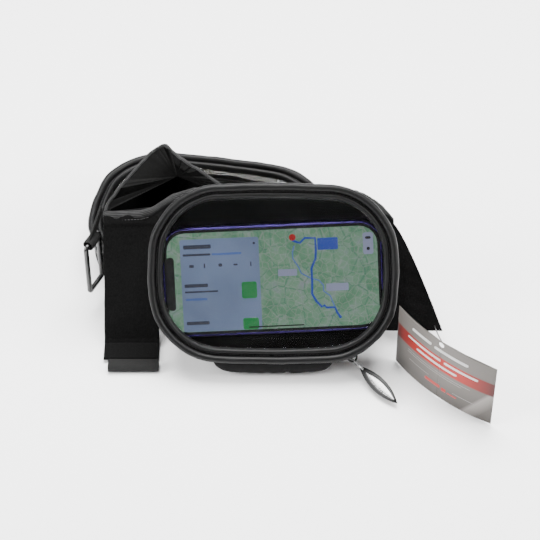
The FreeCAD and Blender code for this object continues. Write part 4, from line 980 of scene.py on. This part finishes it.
rim_height += 1.6 * np.exp(-((from_fold - 3.5)
                             / 3.0) ** 2) - 2.0 * np.exp(-((from_fold + 5.5)
                             / 3.5) ** 2) - 1.0 * np.exp(-((from_fold - 22) / 9) ** 2)
rim_height += 0.9 * np.exp(-((from_fold + 11) / 3.0) ** 2) + waves(from_fold[:, None], 26, 0.7, 81)
rim_height -= 4.0 * np.clip((-from_fold - 46) / 14, 0, 1)
share_up = run_in(52, 0, 1, 0.02)
leg_side = np.stack([-np.gradient(plan[:, 1]), np.gradient(plan[:, 0])], -1)
leg_side = unit(leg_side)


def collar_at(height_share, aside=0.0):
    """Points on the collar's wall at shares of its height, creased most in the middle."""
    tall = 38.3 + (rim_height - 38.3) * height_share
    spot = np.concatenate([plan, tall[:, None]], -1)
    crease = waves(spot * [1, 1, 0.45], 30, 1.5,
                   82) + np.abs(waves(spot * [1, 1, 0.7], 15, 0.9, 83)) - 0.4
    belly = 1.6 * math.sin(math.pi * min(max(height_share, 0), 1)) * np.tanh(from_fold / 12) * -1
    spot[:, :2] += leg_side * (crease * (0.35 + 0.65
                                         * math.sin(math.pi * min(max(height_share, 0), 1)))
                                         + belly + aside)[:, None]
    limit = front_far + ((spot[:, 2] - front_high) * math.sin(lean) + 6.2) / math.cos(lean)
    spot[:, 1] = np.maximum(spot[:, 1], limit)
    return spot


wall = np.stack([collar_at(share) for share in share_up])
collar = grid_piece("collar_wall", two_faced(wall, 0.6), around=True, caps=True)
# painted shade: the collar gets a slightly darker copy of the saddle cloth, for the shade inside
# the V
collar_cloth_painted_shade = cloth("collar_cloth_painted_shade", (0.0012, 0.0012, 0.0012), (0.0042, 0.0042, 0.004), 0.0007,
                     0.8, 0.0, 0.5)
finish_piece(collar, collar_cloth_painted_shade, "saddle", "saddle_nylon", "collar_left", "collar_right")
hem_deep = 8.5 + 1.5 * np.clip(from_fold / 40, 0, 1)
hem = []
for depth, aside in ((1.0, 0.75), (0.94, 1.25), (0.5, 1.45), (0.06, 1.35), (-0.06, 0.9),
                     (-0.1, 0.0), (-0.06, -0.9), (0.06, -1.35), (0.5, -1.45), (0.94, -1.25),
                     (1.0, -0.75)):
    tall = rim_height - 38.3
    low = np.stack([np.stack([np.interp(1 - hem_deep[spot] * max(depth, 0) / tall[spot], share_up,
                                        wall[:, spot, axis]) for axis in range(3)])
                    for spot in range(len(even))])
    low[:, :2] += leg_side * aside
    low[:, 2] += max(-depth, 0) * 9
    hem.append(low)
hem = np.stack(hem, 1)
hem[..., 1] = np.maximum(hem[..., 1], front_far
                         + ((hem[..., 2] - front_high) * math.sin(lean) + 4.2) / math.cos(lean))
collar_edge = grid_piece("collar_edge_tape", hem, around=True, caps=True)
finish_piece(collar_edge, ribbed, "saddle", "grosgrain", "collar_binding")
for name, column, out in (("inside", 1, 1.0), ("outside", 9, -1.0)):
    side_out = np.concatenate([leg_side * out, np.zeros((len(even), 1))], -1)
    stitches(f"collar_stitching_{name}", hem[:, column] + [0, 0, 1.0] + side_out * 0.15, side_out,
             "saddle", "grosgrain", 2.2, 0.2)

# ------------------------------------------------------------------ straps
# Two straps of hook-and-loop tape hang from the ears. The brushed loop side
# faces forward; a folded end of webbing closes the left one.
pile, shader, add = start_material("loop_pile")
coordinates = add("ShaderNodeTexCoord").outputs
fluff = noise(add, coordinates["Object"], 900, 6, 0.7)
add.join(shader.inputs["Base Color"], ramp(add, fluff, (0.35, 0.0012), (0.72, 0.0048)))
shader.inputs["Roughness"].default_value = 0.95
shader.inputs["Specular IOR Level"].default_value = 0.06
shader.inputs["Sheen Weight"].default_value = 0.02
add.join(shader.inputs["Normal"], bump(add, fluff, 0.8, 0.0006))


def fuzz(name, grid, count, seed, height=0.55):
    """Tiny loops of thread scattered on a face: half circles with their ends in the cloth."""
    dice = np.random.default_rng(seed)
    down, across = np.gradient(grid, axis=0), np.gradient(grid, axis=1)
    normal = unit(np.cross(down, across))
    pick_row, pick_column = dice.integers(0, grid.shape[0] - 1,
                                          count), dice.integers(0, grid.shape[1] - 1, count)
    part = dice.uniform(size=(2, count, 1))
    start = grid[pick_row, pick_column] + down[pick_row,
                                               pick_column] * part[0] + across[pick_row,
                                               pick_column] * part[1]
    up = normal[pick_row, pick_column]
    lie = unit(np.cross(up, dice.normal(size=(count, 3))))
    tall = height * dice.uniform(0.5, 1.4, (count, 1, 1))
    bend = np.linspace(0, math.pi, 5)[None, :, None]
    loops = start[:, None] + lie[:, None] * np.cos(bend) * 0.4 + up[:, None] * np.sin(bend) * tall
    return grid_piece(name, tube(loops, 0.055, 4, np.cross(up, lie)[:, None]), around=True,
                      caps=True)


foot_line = []
for v in np.concatenate([np.linspace(36.3, 30, 8), np.linspace(29, -56.5, 74)]):
    foot_line.append(placed("front", (0, v,
                                      0.25 + sheet_level + 0.9 * math.exp(-max(v - 29.5, 0) / 3)
                                      * (v > 29.5))))
foot_line = np.array(foot_line)
foot_line = foot_line[foot_line[:, 2] > 3.6]
heel = foot_line[-1]
toe_turn = np.radians(np.linspace(10, 54, 8))
bend = heel + np.stack([0 * toe_turn, -2.6
                        * (np.sin(np.radians(54)) - np.sin(np.radians(54) - toe_turn)) - 0.3,
                        -np.linspace(0.3, 1.9, 8)], -1)
toe = np.array([bend[-1] + [0, -step, -0.01 * step] for step in np.linspace(1, 15.5, 15)])
left_spine = np.concatenate([foot_line, bend, toe])
across_strap = run_in(40, -118.2 + 47.5, -79.8 + 47.5)
left_middle = np.stack(np.broadcast_arrays(across_strap[None], left_spine[:, 1:2],
                                           left_spine[:, 2:3]), -1).copy()
sway = waves(left_middle[..., [0, 2]], 60, 0.6, 91) * np.clip((left_middle[..., 2] - 6) / 12, 0, 1)
left_middle[..., 1] += sway
left_middle[..., 0] += 0.5 * waves(left_middle[..., [2]], 40, 1.0,
                                   92) * np.clip((left_middle[..., 2] - 4) / 12, 0, 1)
left_strap = grid_piece("left_strap_tape", two_faced(left_middle, 1.15), around=True, caps=True)
finish_piece(left_strap, pile, None, "loop_pile", "left_strap")
left_fuzz = fuzz("left_strap_pile", left_middle - [0, 0.95, 0.6], 2600, 93)
wing_rows = np.concatenate([np.linspace(37.0, 30, 8), np.linspace(29, -46.0, 66)])
wing_shift = 35 * (np.clip(29.9 - wing_rows, 0, None) / 76) ** 0.82
across_wing = run_in(42, 43.2, 83.8)
wing = np.stack(np.broadcast_arrays(across_wing[None] + wing_shift[:, None], wing_rows[:, None],
                                    sheet_level), -1).copy()
wing[:8, :, 1] = np.minimum(wing[:8, :, 1],
                            np.interp(across_wing, across_sheet, ear_top)[None] - 1.0)
wing[..., 2] += waves(wing[..., :2], 34, 0.9, 94) * np.clip((30 - wing_rows) / 20, 0,
                                                            1)[:, None] - 0.3
wing[:8, :, 2] += 1.6
wing[8:14, :, 2] += np.linspace(1.5, 0, 6)[:, None]
right_strap = grid_piece("right_strap_tape", placed("front", two_faced(wing, 1.15)), around=True,
                         caps=True)
finish_piece(right_strap, pile, None, "loop_pile", "right_strap")
right_fuzz = fuzz("right_strap_pile", placed("front", wing + [0, 0, 1.1]), 2600, 95)
for strap, threads, end_body in ((left_strap, left_fuzz, "left_strap_end"),
                                 (right_strap, right_fuzz, "right_strap_end")):
    finish_piece(threads, pile, None, "loop_pile")
    for piece in (strap, threads):
        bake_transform(piece)
webbing, shader, add = start_material("webbing")
coordinates = add("ShaderNodeTexCoord").outputs
herring = add("ShaderNodeTexWave", {"Vector": coordinates["Object"], "Scale": 420.0,
                                    "Distortion": 3.0}, wave_type="BANDS",
                                    bands_direction="DIAGONAL").outputs[0]
add.join(shader.inputs["Base Color"], mixed(add, herring, (0.003, 0.003, 0.003),
                                            (0.016, 0.016, 0.0155)))
shader.inputs["Roughness"].default_value = 0.72
shader.inputs["Specular IOR Level"].default_value = 0.15
add.join(shader.inputs["Normal"], bump(add, herring, 0.8, 0.0005))
loop_low, loop_high = (np.array(corner) * 1000 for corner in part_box("strap_end_loop"))
loop_middle, loop_half = (loop_low + loop_high) / 2, (loop_high - loop_low) / 2
angle = np.linspace(0, 2 * math.pi, 64, endpoint=False)
round_way = np.stack([np.sign(np.cos(angle)) * np.abs(np.cos(angle)) ** 0.5,
                      np.sign(np.sin(angle)) * np.abs(np.sin(angle)) ** 0.6], -1)
loop_stations = run_in(26, loop_low[0], loop_high[0], 0.6)
outer = np.stack([np.stack([np.full(64, x), loop_middle[1] + round_way[:, 0] * loop_half[1],
                            loop_middle[2] + round_way[:, 1] * loop_half[2]], -1)
                            for x in loop_stations])
inner = np.stack([np.stack([np.full(64, x),
                            loop_middle[1] + round_way[:, 0] * (loop_half[1] - 1.8),
                            loop_middle[2] + round_way[:, 1] * (loop_half[2] - 1.7)], -1)
                            for x in loop_stations[::-1]])
end_loop = grid_piece("strap_end_webbing", np.concatenate([outer, inner]), around=True, along=True)
finish_piece(end_loop, webbing, "left_strap_end", "webbing", "strap_end_loop")

# ------------------------------------------------------------------ cinch ring and tab
# A moulded ring of glossy plastic hangs in a sleeve of webbing that is sewn
# behind the left ear.
gloss, shader, add = start_material("gloss_plastic")
coordinates = add("ShaderNodeTexCoord").outputs
add.join(shader.inputs["Base Color"], ramp(add, noise(add, coordinates["Object"], 150),
                                           (0.3, 0.006), (0.7, 0.012)))
add.join(shader.inputs["Roughness"], ramp(add, noise(add, coordinates["Object"], 500), (0.2, 0.14),
                                          (0.8, 0.26)))
ring_middle, ring_yaw = np.array([-78.5, -54.9, 39.9]), math.radians(66)
bar_way = np.array([math.cos(ring_yaw), math.sin(ring_yaw), 0])
face_way = np.array([-math.sin(ring_yaw), math.cos(ring_yaw), 0])
corner_turn = np.radians(np.concatenate([start + np.linspace(0, 90, 10)
                                         for start in (0, 90, 180, 270)]))
corner_seat = np.repeat([(1, 1), (-1, 1), (-1, -1), (1, -1)], 10, axis=0) * [9.1 - 2.4, 21.1 - 2.4]
oval = corner_seat + 2.4 * np.stack([np.cos(corner_turn), np.sin(corner_turn)], -1)
ahead = unit(np.roll(oval, -1, 0) - np.roll(oval, 1, 0))
out = np.stack([ahead[:, 1], -ahead[:, 0]], -1)
turn = np.linspace(0, 2 * math.pi, 20, endpoint=False)
section = np.stack([np.sign(np.cos(turn)) * np.abs(np.cos(turn)) ** 0.6 * 1.85,
                    np.sign(np.sin(turn)) * np.abs(np.sin(turn)) ** 0.6 * 1.45], -1)
flat = oval[:, None] + out[:, None] * section[None, :, :1]
ring_points = (ring_middle + flat[..., :1] * bar_way
               + flat[..., 1:] * np.array([0, 0, 1.0]) + section[None, :, 1:] * face_way)
ring = grid_piece("cinch_ring_body", ring_points, around=True, along=True)
finish_piece(ring, gloss, "ring_body", "gloss_buckle", "cinch_ring")
bar_middle = ring_middle + [0, 0, 21.0]
sleeve_turn = np.linspace(0, 2 * math.pi, 48, endpoint=False)[None, :, None]
sleeve_run = run_in(16, -5.9, 5.9, 0.5)[:, None, None]
shell_rows = []
for size, run in ((3.95, sleeve_run), (3.0, sleeve_run[::-1])):
    shell_rows.append(bar_middle + run * bar_way + size
                      * (np.cos(sleeve_turn) * face_way + np.sin(sleeve_turn)
                         * np.array([0, 0, 1.0])))
sleeve = grid_piece("ring_sleeve", np.concatenate(shell_rows), around=True, along=True)
finish_piece(sleeve, webbing, "saddle", "webbing", "ring_tab")
tail_share = run_in(30, 0, 1, 0.02)[:, None, None]
near_edge = np.array([(-5.9, 3.4), (5.9, 3.4)])
far_edge = np.array([(16.2, 14.2), (16.2, 20.3)])
tail_across = run_in(12, 0, 1, 0.06)[None, :, None]
near_line = near_edge[0] + (near_edge[1] - near_edge[0]) * tail_across
far_line = far_edge[1] + (far_edge[0] - far_edge[1]) * tail_across
tail_flat = near_line * (1 - tail_share) + far_line * tail_share
tail_points = bar_middle + tail_flat[..., :1] * bar_way + tail_flat[..., 1:] * np.array([0, 0, 1.0])
tail = grid_piece("ring_tab_tail", two_faced(tail_points, 0.75, 0.5), around=True, caps=True)
finish_piece(tail, webbing, "saddle", "webbing")

# ------------------------------------------------------------------ hang tag and tie
# A printed card leans on the ground beside the right strap, tied through a
# corner hole with a thin nylon tie. Its print here is generic and has no lettering; painted shade
# makes its grey darker towards both ends and towards the bottom edge.
tag_yaw = math.radians(136.4)
tag_cos, tag_sin = math.cos(tag_yaw), math.sin(tag_yaw)
tag_side, tag_near = 163.8, -140.9
hole_up, hole_size = 51.5, 2.15


def on_tag(points):
    """Points in the tag's own frame (along, behind, up), set in the object's frame."""
    points = np.asarray(points, float)
    return np.stack([tag_side + points[..., 0] * tag_cos - points[..., 1] * tag_sin,
                     tag_near + points[..., 0] * tag_sin + points[..., 1] * tag_cos,
                     0.3 + points[..., 2]], -1)


bow_radius = (42.5**2 + 36) / 12
card_up = np.concatenate([[0.05], np.linspace(0.3, 49.0, 40),
                          hole_up + hole_size * np.sin(np.linspace(-math.pi / 2, math.pi / 2, 13)),
                          [54.6, 54.95]])
hole_half = np.where(np.abs(card_up - hole_up) < 2.2,
                     np.sqrt(np.clip(hole_size**2 - (card_up - hole_up) ** 2, 0, None)), 0.0)[:,
                     None]
halves = []
for name, hand in (("hang_tag_left", -1), ("hang_tag_right", 1)):
    share = np.linspace(0, 1, 50)[None] ** 1.3
    spot = (hole_half + (42.4 - hole_half) * share) * hand
    behind = 6 - bow_radius + np.sqrt(bow_radius**2 - spot**2)
    half = np.stack([spot, behind + 0.3, np.broadcast_to(card_up[:, None], spot.shape)], -1)
    halves.append(grid_piece(name, on_tag(two_faced(half, 0.28, 0.3)), around=True, caps=True))
printed, shader, add = start_material("printed_card")
coordinates = add("ShaderNodeTexCoord").outputs
turned = add("ShaderNodeMapping", {"Vector": coordinates["Object"],
                                   "Rotation": (0.0, 0.0, -tag_yaw)}).outputs[0]
parted = add("ShaderNodeSeparateXYZ", {"Vector": turned}).outputs
along_tag = maths(add, "SUBTRACT", parted[0], (tag_side * tag_cos + tag_near * tag_sin) / 1000)
glow = noise(add, turned, 28, 3)
# painted shade: the card's grey is lighter in the middle and darker towards both ends of its length
ground = ramp(add, maths(add, "ADD", maths(add, "MULTIPLY", along_tag, 8.0), 0.5),
              (0.1, (0.085, 0.076, 0.068)), (0.5, (0.125, 0.115, 0.106)),
              (0.92, (0.07, 0.063, 0.057)))
# painted shade: the lower part of the card is darkened towards its bottom edge
low_painted_shade = ramp(add, maths(add, "MULTIPLY", parted[2], 18.0), (0.0, 0.6), (0.45, 0.0))
ground = mixed(add, low_painted_shade, ground, (0.04, 0.036, 0.032))
strip = ramp(add, maths(add, "MULTIPLY", parted[2], 18.0), (0.485, 0.0), (0.51, 1.0), (0.705, 1.0),
             (0.725, 0.0))
redness = ramp(add, maths(add, "ADD", maths(add, "MULTIPLY", along_tag, 8.0), 0.5),
               (0.14, (0.022, 0.006, 0.005)), (0.36, (0.30, 0.006, 0.003)),
               (0.62, (0.30, 0.006, 0.003)), (0.86, (0.024, 0.006, 0.005)))
shade = mixed(add, strip, ground, redness)
slant = maths(add, "ADD", maths(add, "MULTIPLY", along_tag, -20.0),
              maths(add, "MULTIPLY", parted[2], -14.0))
swoosh = ramp(add, slant, (0.36, 0.0), (0.42, 0.75), (0.62, 0.0))
add.join(shader.inputs["Base Color"], mixed(add,
                                            maths(add, "MULTIPLY", swoosh,
                                                  maths(add, "SUBTRACT", 1.0, strip)), shade,
                                                  (0.26, 0.24, 0.225)))
add.join(shader.inputs["Roughness"], ramp(add, glow, (0.3, 0.36), (0.7, 0.46)))
shader.inputs["Specular IOR Level"].default_value = 0.25


def print_bars(name, bars, colour):
    """Bars of ink on the card's outer face, each a small grid that follows the card's bow."""
    ink, ink_shader, ink_add = start_material(name)
    place = ink_add("ShaderNodeTexCoord").outputs["Object"]
    ink_add.join(ink_shader.inputs["Base Color"],
                 ramp(ink_add, noise(ink_add, place, 200), (0.3, tuple(c * 0.85 for c in colour)),
                      (0.7, colour)))
    ink_shader.inputs["Roughness"].default_value = 0.4
    grids = []
    for left, right, low, high in bars:
        along_bar = np.linspace(left, right, 16)[None]
        behind = 6 - bow_radius + np.sqrt(bow_radius**2 - along_bar**2) + 0.3
        face = np.stack(np.broadcast_arrays(along_bar, behind, np.linspace(low, high, 4)[:, None]),
                        -1)
        grids.append(on_tag(two_faced(face + [0, 0.26, 0], 0.08, 0.2)))
    print_piece = grid_piece(name, np.stack(grids), around=True, caps=True)
    return finish_piece(print_piece, ink, "tag_body", "printed_card")


white_bars = print_bars("tag_print_white",
                        [(27, 8, 44.6, 47.9), (6, -23, 44.2, 47.4), (31, -1, 35.2, 37.8),
                         (-3, -31, 35.2, 37.8), (22, -15, 29.8, 32.4)], (0.5, 0.5, 0.49))
fine_bars = print_bars("tag_print_fine",
                       [(31, -27, 23.8, 24.5), (31, -20, 21.8, 22.5), (28, 8, 15.4, 16.1),
                        (-12, -30, 12.2, 12.9)], (0.2, 0.19, 0.18))
red_bars = print_bars("tag_print_red", [(12, -2, 9.4, 12.8), (-3, -7, 8.4, 12.2),
                                        (-8, -16, 8.8, 10.4)], (0.36, 0.008, 0.005))
finish_piece(halves[0], printed, "tag_body", "printed_card", "hang_tag")
finish_piece(halves[1], printed, "tag_body", "printed_card")
tie_nylon, shader, add = start_material("tie_nylon")
coordinates = add("ShaderNodeTexCoord").outputs
add.join(shader.inputs["Base Color"], ramp(add, noise(add, coordinates["Object"], 300),
                                           (0.3, 0.012), (0.7, 0.03)))
shader.inputs["Roughness"].default_value = 0.35
tie_start = placed("front", (84 + 35 - 6, 29.9 - 76 + 4, sheet_level))
tie_end = on_tag((0, 4.6, hole_up))
share = np.linspace(0, 1, 60)[:, None]
line = tie_start + (tie_end - tie_start) * share - np.sin(share * math.pi) * [0, 0, 1.2]
tie = grid_piece("tag_tie_cord", tube(line, 0.42, 10, (0, 0, 1.0)), around=True, caps=True)
finish_piece(tie, tie_nylon, "right_strap_end", "nylon_tie", "tag_tie")

# ------------------------------------------------------------------ floor and light
# A pale sweep stands in for a studio table; soft boxes above and at both sides.
floor_mesh = bpy.data.meshes.new("floor")
reach = 4.0
floor_mesh.from_pydata([(-reach, -reach, -0.0004), (reach, -reach, -0.0004),
                        (reach, reach, -0.0004), (-reach, reach, -0.0004)], [], [(0, 1, 2, 3)])
floor = bpy.data.objects.new("floor", floor_mesh)
bpy.context.scene.collection.objects.link(floor)
floor_paint, shader, add = start_material("floor_paint")
shader.inputs["Base Color"].default_value = (0.94, 0.94, 0.94, 1)
shader.inputs["Roughness"].default_value = 0.8
floor_mesh.materials.append(floor_paint)
world = bpy.data.worlds.new("studio")
world.use_nodes = True
world.node_tree.nodes["Background"].inputs["Color"].default_value = (1, 1, 1, 1)
world.node_tree.nodes["Background"].inputs["Strength"].default_value = 0.32
bpy.context.scene.world = world
for name, place, aim, wide, tall, watts in (
    ("top_box", (0.0, 0.35, 1.3), (0.03, -0.05, 0.03), 1.2, 0.9, 80),
    ("left_box", (-1.1, -0.5, 0.8), (0.03, -0.08, 0.03), 0.7, 0.9, 32),
    ("right_box", (1.1, -0.3, 0.7), (0.05, -0.08, 0.03), 0.5, 0.9, 24),
):
    light_data = bpy.data.lights.new(name, "AREA")
    light_data.shape = "RECTANGLE"
    light_data.size, light_data.size_y, light_data.energy = wide, tall, watts
    light = bpy.data.objects.new(name, light_data)
    bpy.context.scene.collection.objects.link(light)
    light.location = place
    light.rotation_euler = (Vector(aim) - Vector(place)).to_track_quat("-Z", "Y").to_euler()
